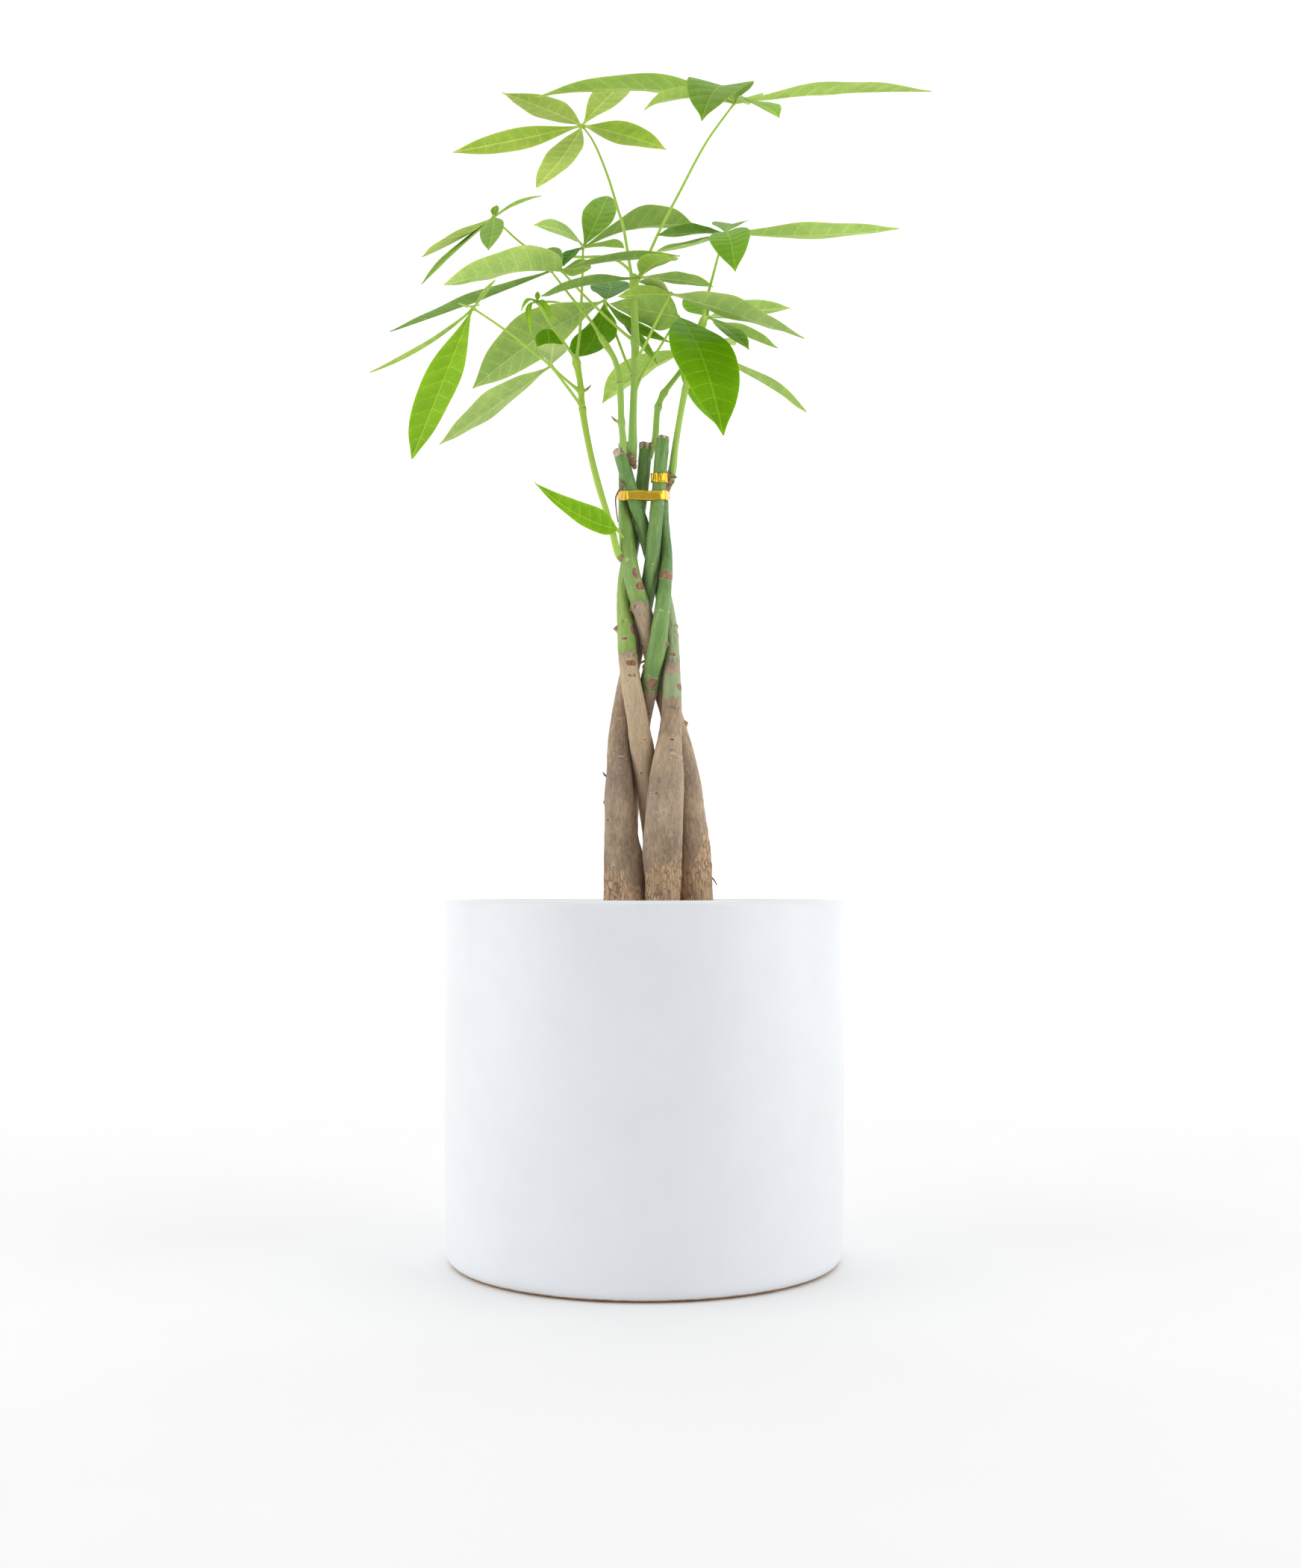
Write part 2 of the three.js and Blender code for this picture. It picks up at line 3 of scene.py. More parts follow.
import bpy
import numpy as np
from bpy.props import FloatProperty, FloatVectorProperty, IntProperty, PointerProperty
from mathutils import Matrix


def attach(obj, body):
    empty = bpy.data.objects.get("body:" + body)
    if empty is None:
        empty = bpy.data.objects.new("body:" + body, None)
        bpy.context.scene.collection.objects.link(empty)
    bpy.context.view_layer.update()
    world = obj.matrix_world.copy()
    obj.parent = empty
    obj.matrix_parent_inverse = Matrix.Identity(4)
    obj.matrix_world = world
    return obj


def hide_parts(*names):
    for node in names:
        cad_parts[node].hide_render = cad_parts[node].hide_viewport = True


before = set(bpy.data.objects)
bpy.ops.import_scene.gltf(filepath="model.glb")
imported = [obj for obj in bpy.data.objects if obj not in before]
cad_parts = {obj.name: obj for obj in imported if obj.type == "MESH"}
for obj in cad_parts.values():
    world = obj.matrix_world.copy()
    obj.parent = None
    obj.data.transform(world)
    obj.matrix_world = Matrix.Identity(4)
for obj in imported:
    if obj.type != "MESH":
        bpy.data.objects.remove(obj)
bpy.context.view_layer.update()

bl_info = {
    "name": "Potted money tree",
    "version": (1, 0, 0),
    "blender": (4, 5, 0),
    "location": "3D View > Sidebar > Money Tree",
    "description": "Five braided trunks in a white glazed pot, with palmate leaves",
    "category": "Object",
}

MM = 0.001

# The routes below are in millimetres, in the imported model's frame: +X to the right, +Y away
# from the camera, +Z up. A row of a trunk or a shoot is x, y, z and the radius there. Angles are
# in degrees, and a compass angle runs from +X towards +Y.
TRUNKS = {
    "trunk_1": (
        (19.5, 1, 82, 6.5), (19.5, 0.5, 115, 6.8), (19.5, 0, 134, 6.5), (18.5, 1.8, 158, 5.9),
        (16.5, 4.2, 178, 5.2), (12, 5.8, 199, 4.4), (5.8, 5.4, 220, 3.9), (0, -0.8, 241, 3.7),
        (-5, -3.7, 259, 3.2), (-7.2, -0.7, 276, 2.8), (-7.7, 2.4, 289, 2.3), (-7.6, 3.2, 310, 2.5),
    ),
    "trunk_2": (
        (-8, -4, 82, 7), (-7.6, -3.6, 115, 9), (-7.2, -3, 134, 8.3), (-8.8, -1.5, 157, 6.4),
        (-9.7, 0, 178, 5.3), (-9.3, 2.5, 199, 4.1), (-6.2, 6.6, 220, 3.6), (-1.8, 6.6, 238.5, 3.2),
        (1.6, 0.4, 255, 3), (3.4, -3, 269, 2.8), (5, -3.4, 286, 2.6), (7, -2.4, 311, 2.55),
    ),
    "trunk_3": (
        (-8, 15, 82, 6), (-8, 14.6, 115, 6), (-8, 14.1, 134, 5.6), (-7.8, 12.3, 158, 5.2),
        (-6, 11.3, 178, 4.6), (-2.2, 8.6, 199, 4), (2.2, -1.4, 218, 3.6), (5, -5.1, 231, 3.4),
        (7.2, -4.1, 248, 2.8), (8.3, -1, 263, 2.5), (7.2, 2.2, 280, 2.3), (6.8, 3.6, 298.4, 2),
    ),
    "trunk_4": (
        (7.5, -12, 82, 6), (7, -11, 115, 6.4), (6.9, -10, 134, 6.4), (7.2, -8.8, 158, 7.2),
        (8.3, -7.2, 179, 6.5), (10, -4.8, 199, 4.2), (10.3, -1.8, 220, 3.4),
        (9.6, 2.4, 238.5, 3.1), (5.8, 4.6, 256, 3), (0, 1, 275, 2.8), (-4.6, -3.2, 289, 2.6),
        (-9.6, -3.4, 306, 2.6),
    ),
    "trunk_5": (
        (6, 10, 82, 6), (5.8, 9.4, 115, 6.2), (5.4, 8.8, 134, 5.8), (4.3, 7.2, 158, 5),
        (1.4, 3, 178, 4.9), (-2, -4, 198, 4.2), (-5.6, -3.8, 220, 3.7), (-7.2, 0.4, 238.5, 3.4),
        (-7.4, 3.7, 256, 3), (-4, 5.8, 275, 2.7), (-1.4, 4.8, 290, 2.6), (0.6, 2, 310, 2.5),
    ),
}

# What the bark of each trunk shows. green: the heights between which the skin is still green.
# fresh: heights and how young the skin or bark is between them, below 0 where it is dull. flare:
# the height below which it is torn, fibrous root, and how much higher that is on the right. lip:
# the height of the dried rim of the cut top. knots: height, compass angle, width, height of the
# mark, rise and how corky it is. lines, the scars of old leaves: height, compass angle, how far
# they reach round the trunk on either side, and how tall their wrinkles are. twigs: the routes of
# dry twigs and root hairs, in rows as above.
BARK = {
    "trunk_1": {
        "green": ((247.5, 330),), "fresh": ((248, 284, 0.35), (198, 246, 0.4)),
        "flare": (149, 11), "lip": 1.4,
        "twigs": (((24.6, -0.6, 143, 0.4), (26.2, -0.8, 141.6, 0.3), (27.6, -0.8, 139.4, 0.15)),),
        "knots": (
            (257.6, -66, 1.3, 2.4, 0.3, 0.62), (252.9, -52, 2.2, 1.5, 0.35, 1),
            (246, 195, 1.3, 1.3, 1.2, 0.6), (263, -100, 0.9, 0.9, 0.1, 0.3),
            (200.5, -8, 2.2, 1.2, 1.2, 0.6), (232, 200, 1.8, 1.3, 0.8, 0.7),
            (171, -20, 0.9, 0.7, 0.25, 0.6), (289, -60, 1.2, 0.6, 0.2, 0.5),
        ),
        "lines": ((246.5, -90, 20, 0.6), (268, -60, 4, 0.5), (228, -90, 3, 0.5)),
    },
    "trunk_2": {
        "green": ((240, 330),), "fresh": ((258, 300, 0.1),),
        "flare": (142, -5), "lip": 0.6,
        "twigs": (((-14, 0, 180.6, 0.5), (-15.2, 0, 181.4, 0.4), (-15.8, 0, 182.4, 0.2)),),
        "knots": (
            (164, -140, 1.1, 0.8, 0.5, 0.5), (171, 190, 0.9, 0.9, 0.7, 0.5),
            (262.5, -80, 0.6, 0.4, 0.2, 0.3), (297, -10, 1.6, 1.3, 0.8, 0.9),
            (146, -120, 1.3, 0.8, 0.35, 0.4), (233, -100, 1.2, 0.6, 0.2, 0.4),
            (202, -100, 0.8, 0.6, 0.3, 0.5), (179, -60, 0.7, 0.5, 0.3, 0.5),
            (151, -8, 5, 9, 0.8, 0),
        ),
        "lines": ((254, -90, 20, 0.5), (187.5, -72, 5, 1.3), (221, -90, 4, 0.8),
                  (160, -110, 3, 0.6)),
    },
    "trunk_3": {
        "green": ((215, 330),), "fresh": ((216, 250, 0.1),),
        "flare": (140, 0), "lip": 1,
        "twigs": (((0.8, -3, 224.6, 0.6), (-0.6, -3.4, 224.4, 0.45), (-1.6, -3.4, 223.6, 0.2)),),
        "knots": (
            (257, -75, 3.4, 1.8, 0.3, 1), (217.6, -75, 2.2, 1.6, 0.15, 1),
            (231.5, -10, 1.5, 1, 1.1, 0.9), (222, 190, 1.2, 1, 0.6, 0.9),
            (243, -150, 0.7, 0.4, 0.1, 0.6), (206, -60, 1.5, 0.6, 0.3, 0.5),
            (294, -30, 2.4, 2.2, 0.7, 0.9),
        ),
        "lines": ((219.6, -90, 20, 0.5), (243, -90, 20, 0.5)),
    },
    "trunk_4": {
        "green": ((209.5, 219.4), (224.4, 330)), "fresh": ((196, 246, -0.7), (180, 208, 0.5)),
        "flare": (147, 3), "lip": 2.3,
        "twigs": (((-9.6, -4.8, 294.4, 0.2), (-7.8, -6, 292, 0.45), (-9.4, -6.2, 290.2, 0.4),
                   (-11, -4.4, 287.4, 0.3), (-10.8, -3.6, 283, 0.25), (-10.2, -3.4, 278.4, 0.2)),),
        "knots": (
            (214.3, -20, 2.6, 1.4, 0.2, 0.9), (234.4, -10, 1.6, 1.4, 0.15, 0.7),
            (238.4, -5, 1.9, 0.7, 0.5, 0.9), (193.6, -80, 1.2, 0.8, 0.35, 0.5),
            (172.5, -150, 1.2, 0.8, 0.6, 0.4), (165, -100, 2.5, 4, -0.3, 0.2),
            (226.4, -80, 1.4, 0.7, 0.1, 0.8), (173, -120, 1, 0.8, 0.4, 0.6),
            (203, -110, 0.7, 0.5, 0.2, 0.5), (158, -70, 0.8, 0.6, 0.2, 0.5),
            (151, 184, 5, 9, 0.7, 0),
        ),
        "lines": ((238.4, -90, 20, 0.5), (235.4, -60, 5, 0.6), (188, -58, 6.5, 2.2),
                  (206, -90, 5, 0.7), (196, -60, 4, 0.5)),
    },
    "trunk_5": {
        "green": ((226.8, 330),), "fresh": ((150, 226, 0.9), (228, 262, 0.55)),
        "flare": (140, 0), "lip": 2, "twigs": (),
        "knots": (
            (237.4, 196, 1.5, 1.1, 1.8, 0.8), (236.2, -25, 2.2, 2.4, 0.2, 1),
            (232.4, -105, 1.5, 1, 0.15, 0.6), (222.8, -75, 2.2, 1.2, 0.5, 0.8),
            (195, -60, 1.2, 0.7, 0.3, 0.5), (184, -110, 0.8, 0.6, 0.4, 0.4),
            (218, -80, 2, 1, 0.2, 0.5), (213, -110, 0.7, 0.5, 0.2, 0.5),
        ),
        "lines": ((239.8, -90, 20, 0.5), (208, -90, 5, 1), (226, -90, 20, 0.6),
                  (200, -80, 3, 0.5)),
    },
}

SHOOTS = {
    "shoot_1": (
        (-6.8, 2.6, 301, 1.6), (-5, 0.2, 306, 1.9), (-4.5, -0.6, 319, 1.5), (-3.9, 0, 337, 1.4),
        (-3.6, 0, 350, 1.6), (-4, 0, 364, 1.4), (-4.2, 0, 375, 1.7),
    ),
    "shoot_2": (
        (-9, -3.5, 301, 1.3), (-8.2, -5, 308, 1.4), (-8.8, -4.6, 316, 1.2), (-9.6, -4.2, 332, 1.3),
        (-11.4, -4, 341, 1.1), (-16.8, -4, 350, 1.2),
    ),
    "shoot_3": (
        (-6.4, -3, 262, 1.5), (-10, -4.4, 266, 1.4), (-12, -5.4, 273, 1.3), (-14.6, -6, 282, 1.2),
        (-17.6, -5, 292, 1.3), (-21, -3, 306, 1.2), (-24, 0, 323, 1.3), (-25, 2, 334, 1.2),
        (-26.8, 4, 344, 1.5),
    ),
    "shoot_4": (
        (1.2, 2.2, 304, 1.2), (3.8, 4.4, 311, 1.3), (5.1, 7, 325, 1.2), (7, 9, 331, 1.2),
        (13, 15, 341, 1), (20, 24, 353, 1.3),
    ),
    "shoot_5": (
        (8.6, 3.4, 293, 1.6), (10.6, 1.6, 299, 1.6), (11.8, 0.3, 308, 1.3), (13.7, 0, 320, 1.2),
        (15.8, 0, 331, 1.3), (19.2, 0.6, 346, 1.2), (23, 2, 359, 1.5),
    ),
}

# Each shoot's joints, as height and how far the joint stands out, its thorns as height and
# compass angle, how far its colour runs from old green, 0, to new, 1, at foot and tip, how
# corky its foot is, and the corky lumps there, as their middle and their radii.
SHOOT_SKIN = {
    "shoot_1": {"joints": ((304.5, 0.5), (336, 0.3), (349.5, 0.35), (372, 0.3)), "thorns": (),
                "age": (0, 0.75), "cork": 0.9,
                "lumps": ((-5.3, -3.5, 303.5, 1.5, 1.3, 1.4), (-4.4, -3.3, 301.8, 1.5, 1.4, 1.6),
                          (-3.9, -2.6, 300, 1, 1, 1.1))},
    "shoot_2": {"joints": ((302, 0.3), (316.5, 0.4), (332, 0.3), (346, 0.2)),
                "thorns": ((316.5, 170),), "age": (0.1, 0.7), "cork": 0.9, "lumps": ()},
    "shoot_3": {"joints": ((265, 0.3), (323, 0.25), (331, 0.3), (342, 0.35)),
                "thorns": ((331, 0),), "age": (0.75, 1), "cork": 0.6, "lumps": ()},
    "shoot_4": {"joints": ((305, 0.3), (326, 0.45), (332, 0.4)), "thorns": (),
                "age": (0.2, 0.5), "cork": 0, "lumps": ()},
    "shoot_5": {"joints": ((296, 0.5), (331, 0.15), (357, 0.3)), "thorns": (),
                "age": (0.35, 0.8), "cork": 0.9,
                "lumps": ((9.6, -0.6, 297, 2.1, 1.4, 0.9), (11.5, -0.6, 296.3, 1.1, 0.8, 0.5))},
}

# A leaf is a stalk and a hand of blades that meet at the hub. facing is where the hand looks,
# straight up unless it is given. A blade row is the compass angle of its tip, its rise above the
# level, its length and width, its tone, and what it changes of the shape that all share: how far
# the midrib arches up and bends aside, the turn and the twist of the blade about it, the fold of
# its halves, where the blade is widest, how full it is towards the tip and how long the tip is
# drawn out. light makes a tone lighter or darker, partly for the blade's own tone and partly as
# painted light or shade on the blade, and pale is a painted highlight that makes it lighter
# towards the tip.
BLADE_SHAPE = {"arch": 0.03, "bend": 0, "turn": 0, "twist": 0, "fold": 0.2, "peak": 1.1,
               "full": 0.45, "tip": 0.4, "light": 1, "pale": 0}
LEAVES = {
    "leaf_a": {"facing": (0, -0.93, 0.37), "hub": (-25, 14, 442), "stalk": (
        (-4.8, 0.6, 374), (-8.4, 2, 396), (-10.3, 3.4, 403), (-14.8, 7, 419), (-20.4, 11, 434)),
        "blades": (
            (142, 31, 51, 13, "young",
             dict(arch=-0.04, bend=0.05, twist=-5, peak=1, full=0.35, tip=0.55, light=0.84)),
            (204, -21, 57.5, 9, "young",
             dict(arch=0.01, bend=-0.02, turn=23, twist=14, tip=0.3, light=1.12)),
            (248, -45, 58.5, 12.5, "young",
             dict(arch=0.01, bend=-0.03, turn=-8, full=0.7, pale=0.25)),
            (344, -22, 37.5, 13.5, "young", dict(turn=5, twist=15, light=1.04, pale=0.3)),
            (56, 44, 48, 13, "young"))},
    "leaf_b": {"hub": (35, -6, 442), "stalk": (
        (-3.2, -0.8, 372.6), (5.9, -2, 393), (13.2, -3, 407), (24, -4.4, 427)),
        "blades": (
            (173, 5, 78, 22.5, "fresh", dict(arch=0.06, turn=8, twist=7, peak=0.85)),
            (220, -20, 48.5, 10.5, "fresh",
             dict(arch=0.1, bend=0.09, turn=-10, twist=-36, fold=0.35, full=0.6, tip=0.5)),
            (251, -31, 50.5, 24, "mid",
             dict(arch=0.17, bend=-0.03, turn=12, twist=-7, peak=0.9, full=0.6, tip=0.65,
                  light=0.85)),
            (8, 7, 79.5, 20.5, "fresh", dict(bend=-0.02, turn=-12, twist=-16)),
            (290, -30, 48, 12, "fresh", dict(arch=0.05, twist=-30)), (80, 24, 50, 17, "fresh"))},
    "leaf_c": {"hub": (-24.5, 14, 392.5), "stalk": (
        (-26.6, 3.8, 343.4), (-25.2, 2, 354), (-24.6, 4, 369), (-24.4, 10, 385)),
        "blades": (
            (123, 29, 46, 9.5, "mid",
             dict(arch=0.05, bend=0.07, turn=-38, twist=-13, fold=0.1, full=0.55)),
            (74, 46, 46.5, 13, "mid", dict(bend=0.03, turn=-21, twist=14, full=0.7, tip=0.2)),
            (7, 14, 45.5, 22, "mid",
             dict(arch=0.07, bend=0.03, twist=25, fold=0.35, peak=1.2, tip=0.2, light=0.8)),
            (48, 15, 25, 11, "bright"),
            (230, -44, 16, 7.5, "deep", dict(arch=0.06, turn=10, twist=9, fold=0.3)))},
    "leaf_d": {"hub": (-32, -8, 375), "stalk": (
        (-3.6, 0, 350), (-6.4, -1, 351.4), (-19, -5, 361.8), (-27, -7, 369.6)),
        "blades": (
            (207, -16, 49.5, 23, "old",
             dict(bend=-0.04, turn=-13, twist=-35, fold=0.4, peak=0.6, full=0.55, light=1.25)),
            (117, 35, 24.5, 8, "old", dict(arch=0.06, bend=0.04, turn=50, full=0.3)),
            (355, 5, 46, 9, "old", dict(arch=0.04)),
            (37, 16, 14.5, 9, "fresh", dict(turn=28, twist=9, fold=0.05, full=0.75)))},
    "leaf_e": {"hub": (-37, 7, 380.5), "stalk": (
        (-16.6, -4, 349.6), (-20.4, -3, 356.2), (-27.6, -1, 365.8), (-33.6, 3.6, 375)),
        "blades": (
            (182, -22, 67.5, 16.5, "deep", dict(arch=-0.01, turn=7, twist=7)),
            (98, 20, 40, 14, "deep"))},
    "leaf_f": {"hub": (30, -30, 381), "stalk": (
        (22.6, 1, 357.4), (23.6, -5, 363), (26, -16, 370), (28.4, -25, 377)),
        "blades": (
            (346, -4, 64.5, 15.5, "mid",
             dict(arch=-0.02, twist=-5, full=0.55, light=1.1, pale=0.15)),
            (272, -35, 53.5, 15, "bright", dict(arch=0.07, turn=-13, fold=0.3, peak=1)),
            (185, -4, 25.5, 11.5, "deep", dict(twist=-15, tip=0.5)),
            (225, -25, 40, 14, "old", dict(arch=-0.02, bend=0.02, turn=9)),
            (82, 25, 45, 14, "mid"))},
    "leaf_g": {"hub": (-1.6, -6, 373), "stalk": ((-4.2, 0, 370.7), (-3.4, -3, 371.5)),
        "blades": (
            (213, -20, 46.5, 15, "deep", dict(bend=0.03, twist=-34, peak=1.2)),
            (291, -9, 39, 12, "bright", dict(arch=0.05, bend=0.03, twist=24, peak=1, full=0.55)),
            (23, 1, 31, 9.5, "old", dict(turn=7, full=0.6, tip=0.55)))},
    "leaf_h": {"hub": (10, -16, 363), "stalk": (
        (-3.7, 0, 342), (-0.4, -4, 346), (4.4, -9.4, 354), (7.8, -13.2, 359.4)),
        "blades": (
            (345, -23, 55.5, 22.5, "old", dict(arch=0.01, turn=6, twist=-26, full=0.6)),
            (206, 10, 14, 7.5, "old", dict(arch=0.08, twist=-16, fold=0.25)),
            (193, -8, 20.5, 10.5, "bright", dict(turn=-7, twist=-10, full=0.6)))},
    "leaf_j": {"hub": (13, 4, 361), "stalk": (
        (-4, 0, 329.6), (-0.8, 0.8, 337), (4, 2, 345), (9.8, 3.4, 355)),
        "blades": (
            (185, 9, 27, 20.5, "mid",
             dict(bend=0.05, turn=-20, twist=27, fold=0.1, peak=0.6, full=0.55)),
            (288, -50, 78.5, 25.5, "bright", dict(arch=0.1, bend=0.02)),
            (128, 18, 36, 13, "mid"))},
    "leaf_k": {"hub": (-16, 20, 373), "stalk": (
        (-4, 0.4, 335), (-6.4, 4, 341), (-11, 10, 355), (-14.6, 17, 367)),
        "blades": (
            (183, -35, 64, 24, "old", dict(arch=0.04, turn=-36, twist=8)),
            (239, -57, 33, 20.5, "bright",
             dict(arch=-0.1, twist=24, fold=0.05, peak=1.2, full=0.8, tip=0.25, light=0.85)),
            (338, -36, 35, 9.5, "mid", dict(arch=-0.08, bend=0.02, turn=-30, peak=1.2)),
            (88, 32, 35, 16.5, "deep", dict(arch=0, bend=0.04, full=0.65)),
            (340, -52, 37, 8.5, "mid", dict(arch=0.01, turn=-17, twist=-16)))},
    "leaf_m": {"hub": (25.2, 4.6, 361), "stalk": ((22.8, 2.2, 358), (24, 3.4, 359.6)),
        "blades": (
            (42, 17, 48.5, 10, "mid",
             dict(bend=-0.08, turn=32, twist=23, fold=0.3, peak=0.85, full=0.65, tip=0.55)),
            (341, -29, 31.5, 13.5, "mid",
             dict(arch=-0.01, bend=-0.05, twist=27, fold=0.35, peak=1.25, tip=0.5)),
            (299, -36, 36, 9.5, "mid", dict(bend=0.03, turn=-8, peak=1.3, tip=0.5)),
            (110, 36, 30, 11.5, "fresh",
             dict(arch=-0.02, bend=0.03, turn=33, twist=-15, peak=1.25)))},
    "leaf_n": {"hub": (20.6, 25, 355), "stalk": ((19.6, 23.6, 352.4), (20.2, 24.4, 354)),
        "blades": (
            (334, -34, 57, 16, "mid", dict(bend=-0.03, turn=4, twist=40, peak=1.25, full=0.55)),
            (150, -20, 47, 19.5, "fresh",
             dict(arch=0.06, bend=-0.02, twist=-5, fold=0.35, peak=1.25)),
            (285, -54, 47.5, 14.5, "fresh",
             dict(arch=0, bend=0.08, turn=10, twist=-11, peak=1, full=0.55)),
            (65, 18, 44, 15, "mid"))},
    "leaf_p": {"hub": (-60.4, 16, 405.4), "stalk": (
        (-3.8, 0.6, 366), (-5.4, 6, 379), (-14, 15, 388.5), (-28, 20.5, 391), (-46, 21, 394.5),
        (-56, 18, 401.6)),
        "blades": (
            (216, -36, 39.5, 12.5, "young",
             dict(arch=-0.02, turn=15, twist=-11, fold=0.3, full=0.55, tip=0.55)),
            (237, -43, 59, 7.5, "mid", dict(arch=0.01, turn=-8, twist=12)),
            (272, -39, 40, 10, "mid", dict(bend=-0.02, turn=-19, twist=9, full=0.55)),
            (55, 32, 36, 2.5, "mid", dict(bend=-0.02, turn=41, twist=-7, fold=0.3)),
            (79, 56, 8, 3.5, "mid", dict(twist=17)))},
    "leaf_q": {"hub": (-64, -26, 354), "stalk": (
        (-24, -0.4, 323.6), (-30, -10, 329.6), (-35.6, -14.4, 335.6), (-42.4, -18.4, 340.2),
        (-53, -24, 347)),
        "blades": (
            (233, -64, 70.5, 17.5, "fresh", dict(arch=0, turn=10, twist=8, full=0.6)),
            (185, -34, 45.5, 7, "fresh", dict(arch=-0.04, bend=0.06, turn=4, full=0.7)),
            (352, 50, 13.5, 4.5, "fresh", dict(arch=-0.01, turn=-4, twist=10, tip=0.5)),
            (104, 19, 20, 8, "fresh"))},
    "leaf_u": {"hub": (-41, -9.4, 362), "stalk": (
        (-26, 2.4, 341.6), (-29.4, -1, 346.4), (-36, -5.4, 354.4)),
        "blades": (
            (249, -29, 16.5, 2, "fresh",
             dict(arch=0.15, bend=-0.02, turn=15, twist=-13, peak=1, full=0.35)),
            (265, -51, 22.5, 2.5, "fresh", dict(arch=0.19, bend=0.07, turn=-16, full=0.2)),
            (303, -43, 17, 2.5, "fresh",
             dict(arch=0.16, bend=0.08, turn=-47, twist=24, fold=0.35, peak=0.9)),
            (20, 5, 10, 1.6, "fresh"), (92, 60, 6, 2, "fresh"))},
    "leaf_v": {"hub": (-36, -4, 339), "stalk": ((-25, 1.6, 330.4), (-31.4, -2, 335)),
        "blades": (
            (192, -38, 54, 18, "old", dict(arch=0, turn=-20, twist=5)),
            (100, 56, 22, 11, "bright", dict(fold=0.05, peak=1.4, full=0.8, tip=0.1)),
            (275, -2, 30, 11, "old"))},
    "leaf_w": {"hub": (-10.5, -10, 274), "stalk": ((-7.2, -1.4, 271), (-9.2, -6, 273)),
        "blades": (
            (209, 22, 37, 10.5, "fresh",
             dict(arch=-0.09, bend=-0.04, turn=75, twist=-9, fold=0.5, peak=0.6)),)},
}
UP = (0, 0, 1)

# The rings that close a cut top: their share of the radius, their height over the rim and the
# mark there, which is 2 in the brown middle
CUT_TOP = ((1.0, 0.25, 1), (0.93, 0.5, 1), (0.8, 0.45, 1.4), (0.62, 0.1, 2), (0.4, -0.1, 2),
           (0.1, -0.2, 2))

# How close two trunks have to be, in millimetres, for painted shade to gather between them
NEAR = 3.2

# Each tie's trunks and the height of its middle at the front
TIES = {"tie_bundle": (tuple(TRUNKS), 288), "tie_single": (("trunk_2",), 294.8)}

# Where the camera stands, in millimetres. The horizon lies 144 pixels below the middle of the
# photograph, which gives its tilt at a focal length of 2302 pixels.
CAMERA = (2.3, -654, 137)
CAMERA_TILT = math.atan(144 / 2302)

# The soft lights: name, place, the point that they face, their side and the setting of their
# power, in metres and watts
PANELS = (
    ("Left panel", (-0.95, -0.25, 0.5), (0, 0, 0.2), 1.1, "side_light"),
    ("Right panel", (0.95, -0.25, 0.5), (0, 0, 0.2), 1.1, "side_light"),
    ("Top panel", (0, 0.05, 1.5), (0, 0, 0.2), 1.3, "top_light"),
    ("Wall panel", (0, 0.7, 2.6), (0, 2.6, 0.75), 3.2, "wall_light"),
)

# Stations across half a blade, from its midrib to its rim
HALF_BLADE = np.array([0, 0.05, 0.14, 0.28, 0.46, 0.66, 0.84, 0.96, 1])


def ink(red, green, blue):
    """A colour picked on screen, 0 to 255, as the linear colour that Blender works in."""
    c = np.array([red, green, blue]) / 255
    return tuple(float(v) for v in np.where(c > 0.04045, ((c + 0.055) / 1.055) ** 2.4, c / 12.92))


def colour(name, what, rgb):
    """A colour property."""
    return FloatVectorProperty(name=name, description=what, default=ink(*rgb), size=3,
                               subtype="COLOR", min=0, max=1)


def size(name, what, value):
    """A length property, given in millimetres."""
    return FloatProperty(name=name, description=what, default=value * MM, unit="LENGTH",
                         subtype="DISTANCE", precision=5)


def share(name, what, value):
    """A property from 0 to 1."""
    return FloatProperty(name=name, description=what, default=value, subtype="FACTOR",
                         min=0, max=1)


class PotSettings(bpy.types.PropertyGroup):
    radius: size("Radius", "Outside radius of the wall at the lip", 76)
    taper: size("Taper", "How much the wall narrows on its way down", 2)
    height: size("Height", "From the table to the lip", 134)
    wall: size("Wall", "Thickness of the wall", 4.5)
    floor: size("Floor", "Thickness of the bottom", 6)
    foot: size("Foot round", "Radius of the rounded foot", 5)
    glaze_line: size("Glaze line", "Height of the bare clay above the table", 1.1)
    glaze: colour("Glaze", "Colour of the satin glaze", (240, 243, 247))
    clay: colour("Clay", "Colour of the bare foot", (214, 178, 142))


class SoilSettings(bpy.types.PropertyGroup):
    top: size("Top", "Height of the soil in the middle", 113)
    dome: size("Dome", "How much lower it lies at the wall", 3)
    chips: IntProperty(name="Chips", description="How many bits of bark lie on it", default=420,
                       min=0)
    grit: IntProperty(name="Grit", description="How many white grains lie on it", default=110,
                      min=0)
    earth: colour("Earth", "Colour of the damp soil", (58, 42, 30))
    chip: colour("Chip", "Colour of the bark bits", (112, 78, 52))
    grain: colour("Grain", "Colour of the white grains", (222, 218, 208))


